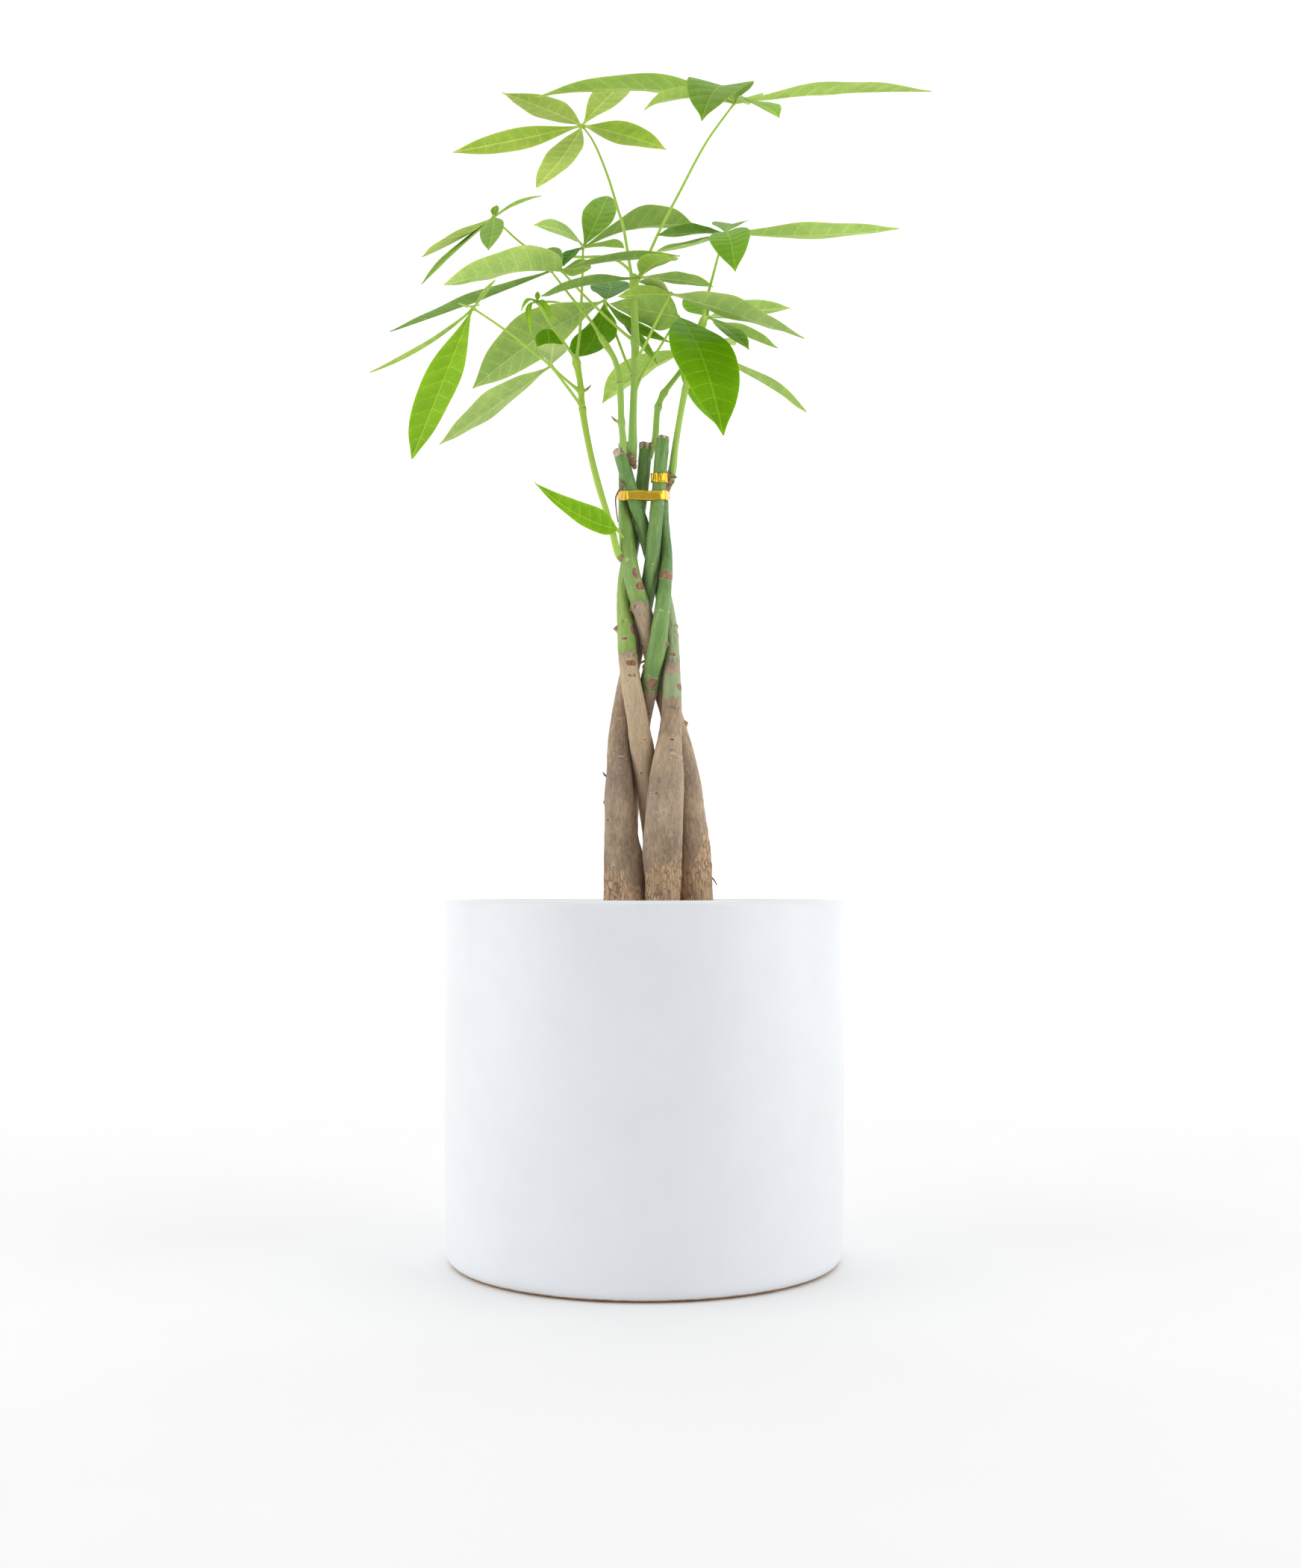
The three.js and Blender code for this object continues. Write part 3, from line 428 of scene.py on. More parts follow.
class TrunkSettings(bpy.types.PropertyGroup):
    relief: size("Relief", "Depth of the lumps in the bark", 0.14)
    tear: size("Tear", "Depth of the torn root fibres", 0.2)
    light_bark: colour("Light bark", "The pale patches of the bark", (214, 190, 162))
    dark_bark: colour("Dark bark", "The dark patches of the bark", (170, 145, 122))
    grey_bark: colour("Grey bark", "The greyish patches of the bark", (160, 141, 131))
    tan_bark: colour("Tan bark", "The young bark below the green", (230, 204, 168))
    root: colour("Root", "The torn root fibres", (255, 216, 174))
    green: colour("Green skin", "The green skin of the upper trunk", (128, 170, 88))
    deep_green: colour("Deep green", "The darker patches of the green skin", (94, 138, 74))
    fresh_green: colour("Fresh green", "Where the skin is still yellow green", (182, 210, 96))
    dull_green: colour("Dull green", "Where the skin turns grey", (180, 190, 146))
    scar: colour("Scar", "Corky scars and rings", (180, 138, 104))
    # Painted shade: a dark colour laid where two trunks nearly touch, in place of the shade there
    crevice_shade: colour("Crevice", "Dirt where two trunks nearly touch", (62, 48, 32))
    cut: colour("Cut wood", "The dried cut tops", (238, 218, 192))


class ShootSettings(bpy.types.PropertyGroup):
    old: colour("Old shoot", "The foot of an old shoot", (172, 212, 124))
    new: colour("New shoot", "A young shoot or stalk", (198, 228, 92))
    cork: colour("Cork", "Brown joints and lumps", (196, 166, 124))
    deep_cork: colour("Deep cork", "Their dark flecks", (110, 82, 54))
    stalk: size("Stalk", "Radius of a leaf stalk at its middle", 0.5)


class LeafSettings(bpy.types.PropertyGroup):
    veins: IntProperty(name="Side veins", description="Pairs of side veins on a long blade",
                       default=12, min=4)
    thickness: size("Thickness", "Thickness of a blade", 0.36)
    quilt: size("Quilting", "How far the leaf rises between its side veins", 0.1)
    wave: share("Wave", "Height of the waves of the rim against the half width", 0.035)
    young: colour("Young", "Upper side of the youngest leaf", (170, 192, 86))
    young_under: colour("Young, under", "Its underside", (188, 206, 122))
    fresh: colour("Fresh", "Upper side of a new leaf", (140, 184, 34))
    fresh_under: colour("Fresh, under", "Its underside", (174, 199, 104))
    bright: colour("Bright", "Upper side of a leaf in full light", (114, 164, 0))
    bright_under: colour("Bright, under", "Its underside", (164, 192, 84))
    mid: colour("Middle", "Upper side of a grown leaf", (126, 166, 44))
    mid_under: colour("Middle, under", "Its underside", (168, 194, 106))
    deep: colour("Deep", "Upper side of an old leaf", (80, 134, 28))
    deep_under: colour("Deep, under", "Its underside", (132, 164, 82))
    old: colour("Old", "Upper side of an old, dull leaf", (128, 162, 74))
    old_under: colour("Old, under", "Its underside", (174, 196, 118))


class TieSettings(bpy.types.PropertyGroup):
    width: size("Width", "Width of the foil strip", 3.8)
    thickness: size("Thickness", "Thickness of the foil strip", 0.35)
    clear: size("Clearance", "Air between the strip and the trunks", 0.15)
    crinkle: size("Crinkle", "Depth of the creases", 0.07)
    sway: size("Sway", "How far the strip runs up and down", 0.25)
    tilt: FloatProperty(name="Tilt", description="Rise of the strip towards the back", default=0.2)
    foil: colour("Foil", "Colour of the foil", (255, 214, 74))


class StageSettings(bpy.types.PropertyGroup):
    lens: FloatProperty(name="Lens", description="Focal length over the tall side",
                        default=39.46, unit="CAMERA")
    tilt: FloatProperty(name="Tilt", description="How far the camera looks up",
                        default=CAMERA_TILT, subtype="ANGLE")
    side_light: FloatProperty(name="Side light", description="Power of each side panel",
                              default=5.0, unit="POWER")
    top_light: FloatProperty(name="Top light", description="Power of the panel above",
                             default=3.7, unit="POWER")
    wall_light: FloatProperty(name="Wall light", description="Power of the panel on the wall",
                              default=10.0, unit="POWER")
    glow: FloatProperty(name="Wall glow", description="Light that the wall gives off",
                        default=0.42)
    air: FloatProperty(name="Surroundings", description="Brightness of the air", default=0.44)
    paper: colour("Paper", "Colour of the floor and the wall behind", (250, 250, 250))


# Surfaces


def unit(v):
    """Vectors scaled to a length of one."""
    return v / np.maximum(np.linalg.norm(v, axis=-1, keepdims=True), 1e-12)


def ease(low, high, value):
    """0 below low, 1 above high, and 3 t^2 - 2 t^3 between them."""
    t = np.clip((value - low) / (high - low), 0, 1)
    return t * t * (3 - 2 * t)


def smooth_path(rows, per):
    """A curve through the rows, in as many steps on each stretch as `per`. Each stretch is the
    cubic h(u) = (2u3 - 3u2 + 1) p1 + (u3 - 2u2 + u) out + (3u2 - 2u3) p2 + (u3 - u2) into,
    with the end slopes of a Catmull-Rom spline whose steps go by the root of the distance."""
    p = np.array(rows, float)
    p = np.vstack([2 * p[0] - p[1], p, 2 * p[-1] - p[-2]])
    gap = np.linalg.norm(np.diff(p[:, :3], axis=0), axis=1) ** 0.5
    a, b, c = gap[:-2, None], gap[1:-1, None], gap[2:, None]
    p0, p1, p2, p3 = p[:-3], p[1:-2], p[2:-1], p[3:]
    out = ((p1 - p0) / a - (p2 - p0) / (a + b) + (p2 - p1) / b) * b
    into = ((p2 - p1) / b - (p3 - p1) / (b + c) + (p3 - p2) / c) * b
    u = (np.arange(per) / per)[None, :, None]
    p1, p2, out, into = (q[:, None, :] for q in (p1, p2, out, into))
    curve = ((2 * u**3 - 3 * u**2 + 1) * p1 + (u**3 - 2 * u**2 + u) * out
             + (3 * u**2 - 2 * u**3) * p2 + (u**3 - u**2) * into)
    return np.vstack([curve.reshape(-1, p.shape[1]), p[-2]])


def length_along(path):
    """Distance along a path at each of its points."""
    return np.concatenate([[0], np.cumsum(np.linalg.norm(np.diff(path, axis=0), axis=1))])


def frames(path, towards):
    """Three directions at each point of a path: ahead, across and beside. Across is the given
    direction less its part along the path, and beside is ahead x across."""
    ahead = unit(np.gradient(path, axis=0))
    across = unit(towards - (ahead @ towards)[:, None] * ahead)
    return ahead, across, np.cross(ahead, across)


def rings_round(path, across, beside, radius, turn):
    """Rings round a path: centre + across r cos(turn) + beside r sin(turn)."""
    r = np.broadcast_to(radius if np.ndim(radius) == 2 else np.asarray(radius)[:, None],
                        (len(path), len(turn)))[..., None]
    return (path[:, None] + across[:, None] * r * np.cos(turn)[None, :, None]
            + beside[:, None] * r * np.sin(turn)[None, :, None])


def ripple(turn, along, seed, waves, around, length):
    """Lumps on a stem: the sum of sin(m turn + 2 pi along / l + p) over random whole numbers m,
    lengths l and phases p, over the root of how many there are, so it closes round the stem."""
    rng = np.random.default_rng(seed)
    m = rng.integers(around[0], around[1] + 1, waves)
    l = rng.uniform(length[0], length[1], waves) * rng.choice([-1, 1], waves)
    p = rng.uniform(0, 2 * np.pi, waves)
    return np.sin(m * turn[..., None] + 2 * np.pi * along[..., None] / l + p).sum(-1) / waves**0.5


class Shell:
    """Gathers closed skins into one mesh. A skin is a stack of rings, joined by quads, with a
    fan over each end. A mark is a value or a vector at each point, kept as an attribute."""

    def __init__(self):
        self.points, self.marks, self.quads, self.fans = [], [], [], []
        self.quad_finish, self.fan_finish, self.count = [], [], 0

    def skin(self, rings, finish=0, **marks):
        """Adds rings of shape stations x points x 3, or skins x stations x points x 3."""
        rings = np.asarray(rings, float)
        if rings.ndim == 3:
            rings = rings[None]
            marks = {k: np.asarray(v, float)[None] for k, v in marks.items()}
        k, n, m, _ = rings.shape
        whole = n * m + 2
        i, s = np.meshgrid(np.arange(n - 1), np.arange(m), indexing="ij")
        here, there = i * m + s, i * m + (s + 1) % m
        quads = np.stack([here, there, there + m, here + m], -1).reshape(-1, 4)
        s, e = np.arange(m), (np.arange(m) + 1) % m
        start, end, last = np.full(m, n * m), np.full(m, n * m + 1), (n - 1) * m
        fans = np.vstack([np.stack([start, e, s], -1), np.stack([end, last + s, last + e], -1)])
        points = np.concatenate([rings.reshape(k, n * m, 3), rings[:, [0, -1]].mean(2)], 1)
        corners = np.vstack([quads[:, [0, 1, 2]], quads[:, [0, 2, 3]], fans])
        a, b, c = (points[:, corners[:, q]] - points[:, :1] for q in range(3))
        if (np.einsum("kfi,kfi->k", a, np.cross(b, c)) <= 0).any():
            raise ValueError("a skin is turned inside out")
        shift = self.count + np.arange(k)[:, None, None] * whole
        self.points.append(points.reshape(-1, 3))
        self.quads.append((quads[None] + shift).reshape(-1, 4))
        self.fans.append((fans[None] + shift).reshape(-1, 3))
        self.quad_finish.append(np.full(k * len(quads), finish))
        self.fan_finish.append(np.full(k * len(fans), finish))
        kept = {}
        for name, value in marks.items():
            value = np.asarray(value, float)
            tail = (3,) if value.ndim == 4 else ()
            value = np.broadcast_to(value, (k, n, m) + tail)
            ends = value[:, [0, -1]].mean(2)
            kept[name] = np.concatenate(
                [value.reshape((k, n * m) + tail), ends], 1).reshape((-1,) + tail)
        self.marks.append((k * whole, kept))
        self.count += k * whole

    def piece(self, name, finishes, node):
        """Puts the skins into one mesh object that rides on the plant and stands for a node."""
        mesh = bpy.data.meshes.new(name)
        points, quads, fans = (np.concatenate(v) for v in (self.points, self.quads, self.fans))
        corners = np.concatenate([quads.ravel(), fans.ravel()]).astype(np.int32)
        starts = np.concatenate([np.arange(len(quads)) * 4,
                                 len(quads) * 4 + np.arange(len(fans)) * 3]).astype(np.int32)
        mesh.vertices.add(len(points))
        mesh.vertices.foreach_set("co", (points * MM).astype(np.float32).ravel())
        mesh.loops.add(len(corners))
        mesh.loops.foreach_set("vertex_index", corners)
        mesh.polygons.add(len(starts))
        mesh.polygons.foreach_set("loop_start", starts)
        finish = np.concatenate(self.quad_finish + self.fan_finish).astype(np.int32)
        for material in finishes:
            mesh.materials.append(material)
        mesh.polygons.foreach_set("material_index", finish)
        mesh.update(calc_edges=True)
        mesh.shade_smooth()
        for mark in sorted({key for _, kept in self.marks for key in kept}):
            wide = any(kept[mark].ndim == 2 for _, kept in self.marks if mark in kept)
            value = np.concatenate([kept.get(mark, np.zeros((count, 3) if wide else count))
                                    for count, kept in self.marks])
            layer = mesh.attributes.new(mark, "FLOAT_VECTOR" if wide else "FLOAT", "POINT")
            layer.data.foreach_set("vector" if wide else "value", value.astype(np.float32).ravel())
        thing = bpy.data.objects.new(name, mesh)
        bpy.context.scene.collection.objects.link(thing)
        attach(thing, "root")
        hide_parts(node)
        return thing


# Materials


class Bench:
    """Lays out the nodes of a material or a group. Each call adds a node and gives its output."""

    def __init__(self, tree):
        self.tree = tree

    def node(self, kind, plugs=None, out=0, **settings):
        node = self.tree.nodes.new("ShaderNode" + kind)
        for name, value in settings.items():
            setattr(node, name, value)
        for name, value in (plugs or {}).items():
            socket = node.inputs[name]
            if isinstance(value, bpy.types.NodeSocket):
                self.tree.links.new(value, socket)
            elif socket.type == "RGBA" and len(value) == 3:
                socket.default_value = (*value, 1)
            else:
                socket.default_value = value
        return node.outputs[out]

    def place(self):
        return self.node("TexCoord", out="Object")

    def mark(self, name, out="Fac"):
        return self.node("Attribute", out=out, attribute_name=name)

    def math(self, operation, a, b=0.0, c=0.0):
        return self.node("Math", {0: a, 1: b, 2: c}, operation=operation)

    def plus(self, a, b):
        return self.math("ADD", a, b)

    def minus(self, a, b):
        return self.math("SUBTRACT", a, b)

    def times(self, a, b, more=None):
        """a times b, plus what is given as more."""
        if more is None:
            return self.math("MULTIPLY", a, b)
        return self.math("MULTIPLY_ADD", a, b, more)

    def layer(self, base, colour, mask, amount=1.0):
        """A colour laid over the base where the mask is, as thick as the amount."""
        mask = mask if amount == 1.0 else self.times(mask, amount)
        return self.node("Mix", {0: mask, 6: base, 7: colour}, out=2, data_type="RGBA")

    def shade(self, colour, bright):
        """The colour times a brightness, a value from a node."""
        return self.node("VectorMath", {0: colour, 3: bright}, operation="SCALE")

    def vector(self, operation, a, b, c=(0.0, 0.0, 0.0)):
        return self.node("VectorMath", {0: a, 1: b, 2: c}, operation=operation)

    def step(self, value, low, high, start=0.0, end=1.0):
        return self.node("MapRange", {0: value, 1: low, 2: high, 3: start, 4: end},
                         interpolation_type="SMOOTHSTEP")

    def along(self, vector, scale):
        """The pattern's place, drawn out along Z."""
        return self.node("Mapping", {"Vector": vector, "Scale": (1.0, 1.0, scale)})

    def noise(self, vector, scale, detail=3.0, rough=0.55, out=0):
        return self.node("TexNoise", {"Vector": vector, "Scale": scale, "Detail": detail,
                                      "Roughness": rough}, out=out)

    def cells(self, vector, scale, out, feature="F1"):
        return self.node("TexVoronoi", {"Vector": vector, "Scale": scale}, out=out,
                         feature=feature)

    def bump(self, height, distance, strength=1.0):
        return self.node("Bump", {"Height": height, "Distance": distance, "Strength": strength})

    def group(self, name, plugs):
        """Places a shared group, made on first use, and gives its node's outputs by name."""
        tree = bpy.data.node_groups.get(name) or GROUPS[name]()
        return self.node("Group", plugs, node_tree=tree).node.outputs

    def mottle(self, vector, scale, light, dark):
        return self.group("Mottle", {"Vector": vector, "Scale": scale, "Light": light,
                                     "Dark": dark})["Color"]

    def fibres(self, grain, fineness):
        return self.group("Fibres", {"Grain": grain, "Fineness": fineness})["Lines"]

    def specks(self, vector, scale, size_of, share_of):
        return self.group("Specks", {"Vector": vector, "Scale": scale, "Size": size_of,
                                     "Share": share_of})["Mask"]


def toned(rgb, amount):
    """A colour made lighter or darker."""
    return tuple(min(1.0, c * amount) for c in rgb)


def shared(name, inputs, outputs, lay):
    """A shader node group with named sockets, laid out by lay(bench, inputs), which gives its
    outputs by name. An input is a colour or a number by its default, or a vector by None."""
    tree = bpy.data.node_groups.new(name, "ShaderNodeTree")
    for label, default in inputs.items():
        kind = {type(None): "Vector", tuple: "Color", float: "Float"}[type(default)]
        socket = tree.interface.new_socket(label, in_out="INPUT", socket_type="NodeSocket" + kind)
        if default is not None:
            socket.default_value = (*default, 1) if kind == "Color" else default
    for label, kind in outputs.items():
        tree.interface.new_socket(label, in_out="OUTPUT", socket_type="NodeSocket" + kind)
    source, sink = tree.nodes.new("NodeGroupInput"), tree.nodes.new("NodeGroupOutput")
    made = lay(Bench(tree), source.outputs)
    for label in outputs:
        tree.links.new(made[label], sink.inputs[label])
    return tree


def mottle_group():
    """Two colours that run into each other in soft patches, with finer flecks."""
    def lay(b, given):
        broad = b.noise(given["Vector"], given["Scale"], 2.0)
        fine = b.noise(given["Vector"], b.times(given["Scale"], 7.3), 2.0)
        mask = b.step(b.plus(b.times(broad, 0.7), b.times(fine, 0.3)), 0.36, 0.64)
        return {"Color": b.layer(given["Light"], given["Dark"], mask)}
    return shared("Mottle", {"Vector": None, "Scale": 100.0, "Light": (1, 1, 1),
                             "Dark": (0, 0, 0)}, {"Color": "Color"}, lay)


def fibre_group():
    """Lines along the grain of a stem: noise that is drawn out along it."""
    def lay(b, given):
        drawn = b.vector("MULTIPLY", given["Grain"], given["Fineness"])
        return {"Lines": b.step(b.noise(drawn, 1.0, 5.0, 0.62), 0.34, 0.66)}
    return shared("Fibres", {"Grain": None, "Fineness": None}, {"Lines": "Float"}, lay)


def speck_group():
    """Small round specks, each in a cell of its own, in only some of the cells."""
    def lay(b, given):
        cells = b.cells(given["Vector"], given["Scale"], "Color").node.outputs
        here = b.math("GREATER_THAN", given["Share"], b.node("SeparateColor",
                                                             {0: cells["Color"]}))
        near = b.step(cells["Distance"], b.times(given["Size"], 0.5), given["Size"], 1.0, 0.0)
        return {"Mask": b.times(near, here)}
    return shared("Specks", {"Vector": None, "Scale": 500.0, "Size": 0.25, "Share": 0.5},
                  {"Mask": "Float"}, lay)


def flake_group():
    """Torn flakes: cells drawn out along the grain and bent by noise. Tone is a value for each
    cell, and Crack the thin line between two cells."""
    def lay(b, given):
        drawn = b.vector("MULTIPLY", given["Grain"], given["Fineness"])
        bend = b.noise(drawn, 0.7, 2.0, 0.5, "Color")
        bent = b.vector("MULTIPLY_ADD", bend, (1.6, 1.6, 1.6), drawn)
        tone = b.node("SeparateColor", {0: b.cells(bent, 1.0, "Color")})
        edge = b.cells(bent, 1.0, "Distance", "DISTANCE_TO_EDGE")
        return {"Tone": tone, "Crack": b.step(edge, 0.02, 0.16, 1, 0)}
    return shared("Flakes", {"Grain": None, "Fineness": None},
                  {"Tone": "Float", "Crack": "Float"}, lay)


def vein_group():
    """The veins of a leaf. A side vein runs where the phase is a whole number. It is thin at the
    rim and joins the midrib, and between the side veins runs a net of fine ones."""
    def lay(b, given):
        part = b.math("FRACT", b.plus(given["Phase"], 0.5))
        away = b.times(b.math("ABSOLUTE", b.minus(part, 0.5)), given["Pitch"])
        side = b.times(b.step(away, 0.05, given["Width"], 1.0, 0.0),
                       b.step(given["Rim"], 0.2, 2.6, 0.1, 1.0))
        rib = b.step(given["Rib"], 0.2, 0.55, 1.0, 0.0)
        net = b.cells(given["Vector"], 620.0, "Distance", "DISTANCE_TO_EDGE")
        return {
            "Veins": b.math("MAXIMUM", b.times(side, given["Side"]), rib),
            "Net": b.times(b.step(net, 0.0, 0.12, 1.0, 0.0), 0.4),
            "Panel": b.math("ABSOLUTE", b.math("SINE", b.times(given["Phase"], math.pi))),
        }
    return shared("Leaf veins", {"Vector": None, "Phase": 0.0, "Pitch": 4.0, "Rib": 5.0,
                                 "Rim": 5.0, "Width": 0.4, "Side": 0.5},
                  {"Veins": "Float", "Net": "Float", "Panel": "Float"}, lay)


GROUPS = {"Mottle": mottle_group, "Fibres": fibre_group, "Specks": speck_group,
          "Flakes": flake_group, "Leaf veins": vein_group}


def finish(name, lay, **fixed):
    """A material whose Principled shader is fed by what lay(bench) gives, by socket name."""
    made = bpy.data.materials.get(name)
    if made:
        return made
    made = bpy.data.materials.new(name)
    made.use_nodes = True
    shader = made.node_tree.nodes["Principled BSDF"]
    for socket, value in fixed.items():
        shader.inputs[socket.replace("_", " ")].default_value = value
    for socket, value in lay(Bench(made.node_tree)).items():
        made.node_tree.links.new(value, shader.inputs[socket])
    return made


def glaze_finish(pot):
    """Satin glaze with faint waves and pinholes, ending in a wavy line above a bare clay foot."""
    def lay(b):
        at = b.place()
        height = b.node("SeparateXYZ", {0: at}, out="Z")
        edge = b.plus(height, b.times(b.minus(b.noise(at, 160.0), 0.5), 0.0009))
        bare = b.step(edge, pot.glaze_line * 0.75, pot.glaze_line * 1.25, 1.0, 0.0)
        glaze = b.mottle(at, 14.0, pot.glaze, toned(pot.glaze, 0.965))
        clay = b.mottle(at, 420.0, pot.clay, toned(pot.clay, 0.62))
        grain = b.times(b.noise(at, 1800.0, 2.0), b.plus(b.times(bare, 0.5), 0.012))
        pins = b.times(b.specks(at, 260.0, 0.09, 0.12), 0.12)
        relief = b.minus(b.plus(b.noise(at, 46.0, 2.0), grain), pins)
        rough = b.plus(b.times(b.noise(at, 60.0, 2.0), 0.1), 0.28)
        return {
            "Base Color": b.layer(glaze, clay, bare),
            "Roughness": b.math("MAXIMUM", rough, b.times(bare, 0.9)),
            "Normal": b.bump(relief, 0.0004, 0.5),
        }
    return finish("Satin glaze", lay, Coat_Weight=0.12, Coat_Roughness=0.22)


def soil_finish(soil):
    """Damp crumbs of earth, in light and dark patches with flecks of bark colour."""
    def lay(b):
        at = b.place()
        crumbs = b.noise(at, 520.0, 6.0, 0.7)
        earth = b.mottle(at, 170.0, toned(soil.earth, 1.7), toned(soil.earth, 0.55))
        return {
            "Base Color": b.layer(earth, soil.chip, b.specks(at, 700.0, 0.2, 0.1), 0.5),
            "Roughness": b.minus(1.0, b.times(crumbs, 0.2)),
            "Normal": b.bump(crumbs, 0.0016, 0.9),
        }
    return finish("Damp soil", lay)


def chip_finish(soil):
    """Bits of bark and white grains: each bit has its own tone, and a coarse split surface. A tone
    over one is a grain."""
    def lay(b):
        tone = b.mark("tone")
        split = b.noise(b.along(b.place(), 4.0), 900.0, 4.0)
        bark = b.layer(toned(soil.chip, 0.4), toned(soil.chip, 1.35), tone)
        both = b.layer(bark, soil.grain, b.math("GREATER_THAN", tone, 1.5))
        return {
            "Base Color": b.shade(both, b.plus(b.times(split, 0.8), 0.6)),
            "Roughness": b.plus(b.times(split, 0.2), 0.75),
            "Normal": b.bump(split, 0.0008, 0.8),
        }
    return finish("Bark bits and grains", lay)


def bark_colour(b, look, grain, lines):
    """Bark in light, dark and grey patches, tan where it is young, with pale grains, dark fibres
    and dark specks."""
    dark, broad = toned(look.dark_bark, 0.34), b.along(grain, 0.4)
    bark = b.mottle(broad, 120.0, look.light_bark, look.dark_bark)
    bark = b.layer(bark, look.grey_bark, b.step(b.noise(broad, 60.0, 2.0), 0.5, 0.66), 0.6)
    bark = b.layer(bark, look.tan_bark, b.mark("fresh"), 0.75)
    grains = b.step(b.noise(broad, 1500.0, 3.0), 0.52, 0.7)
    bark = b.layer(bark, toned(look.light_bark, 1.2), grains, 0.4)
    bark = b.layer(bark, dark, lines, 0.26)
    return b.layer(bark, dark, b.specks(grain, 620.0, 0.2, 0.4), 0.5)


def torn_colour(b, look, grain, lines, flakes):
    """Torn root: flakes of two tones, dark fibres, and cracks that are open only here and
    there."""
    torn = b.layer(look.root, toned(look.root, 0.7), flakes["Tone"])
    torn = b.layer(torn, toned(look.root, 0.5), lines, 0.3)
    split = b.times(flakes["Crack"], b.step(b.noise(grain, 330.0, 3.0), 0.4, 0.6))
    return b.layer(torn, toned(look.dark_bark, 0.34), split, 0.6)


def skin_colour(b, look, grain, lines, patch):
    """Green skin in patches, yellow green where it is fresh and greyish where it is dull, with
    dark lines, patches of bark and pale specks."""
    fresh = b.mark("fresh")
    skin = b.mottle(b.along(grain, 0.3), 150.0, look.green, look.deep_green)
    skin = b.layer(skin, look.fresh_green, fresh)
    skin = b.layer(skin, look.dull_green, b.times(fresh, -1.0))
    skin = b.layer(skin, toned(look.deep_green, 0.5), lines, 0.16)
    skin = b.layer(skin, look.light_bark, b.step(patch, 0.6, 0.7), 0.5)
    return b.layer(skin, look.light_bark, b.specks(grain, 900.0, 0.17, 0.4), 0.5)


def scar_colour(b, look, base, grain, warp, patch, scar, rim):
    """The base with the marks of old leaves: broken pale and dark lines and corky scars with a
    pale rim, then the dried cut top with its brown middle, and painted shade close to another
    trunk."""
    at, pale = b.place(), toned(look.light_bark, 1.2)
    broken = b.times(b.mark("line"), b.step(patch, 0.34, 0.6))
    base = b.layer(base, pale, b.step(broken, 0.1, 0.7, 0.0, 0.7))
    base = b.layer(base, toned(look.dark_bark, 0.34), b.step(broken, -0.1, -0.7, 0.0, 0.6))
    base = b.layer(base, pale, rim, 0.75)
    base = b.layer(base, b.mottle(at, 900.0, look.scar, toned(look.scar, 0.5)), scar)
    wood = b.mottle(b.along(grain, 0.35), 900.0, look.cut, toned(look.scar, 0.4))
    heart = b.mottle(at, 900.0, look.scar, toned(look.scar, 0.15))
    sawn = b.times(warp, 1.4, b.mark("cut"))
    base = b.layer(base, wood, b.step(sawn, 0.35, 0.55))
    base = b.layer(base, heart, b.step(sawn, 1.2, 1.6))
    # Painted shade: the dark crevice colour laid where another trunk is near
    return b.layer(base, look.crevice_shade, b.mark("near"), 0.62)


def trunk_finish(look):
    """Bark over green skin. The marks tell where: green is how far inside the green stretch a
    point lies, in millimetres, fresh from -1, dull, to 1, young skin or bark, flare the torn
    root, scar the corky scars, line the pale and dark lines of leaf scars, near the places close
    to another trunk, where shade is painted, and cut the cut top, whose middle is over one."""
    def lay(b):
        grain = b.mark("grain", "Vector")
        fine = b.fibres(grain, (1900.0, 1900.0, 260.0))
        lines = b.step(fine, 0.5, 1.0)
        flakes = b.group("Flakes", {"Grain": grain, "Fineness": (900.0, 900.0, 260.0)})
        warp = b.minus(b.noise(grain, 420.0, 5.0, 0.68), 0.5)
        patch = b.noise(b.along(grain, 0.5), 230.0, 5.0, 0.75)
        green = b.step(b.times(warp, 10.0, b.mark("green")), -0.3, 0.3)
        root = b.step(b.times(warp, 0.9, b.mark("flare")), 0.44, 0.56)
        ragged = b.times(warp, 1.1, b.mark("scar"))
        scar = b.step(ragged, 0.36, 0.5)
        bark = bark_colour(b, look, grain, lines)
        bark = b.layer(bark, torn_colour(b, look, grain, lines, flakes), root)
        base = b.layer(bark, skin_colour(b, look, grain, lines, patch), green)
        base = scar_colour(b, look, base, grain, warp, patch, scar,
                           b.minus(b.step(ragged, 0.16, 0.34), scar))
        height = b.times(b.times(green, -0.85, 1.0), b.times(fine, -0.5))
        torn_up = b.minus(flakes["Tone"], b.times(flakes["Crack"], 1.2))
        height = b.times(b.times(root, torn_up), 0.9, height)
        height = b.times(scar, b.noise(b.place(), 1300.0, 4.0), height)
        height = b.times(warp, 0.7, height)
        return {
            "Base Color": base,
            "Roughness": b.times(green, -0.5, 0.9),
            "Normal": b.bump(height, 0.0005, 0.8),
            "Coat Weight": b.times(green, 0.3),
        }
    return finish("Bark and green skin", lay, Specular_IOR_Level=0.4, Coat_Roughness=0.3)


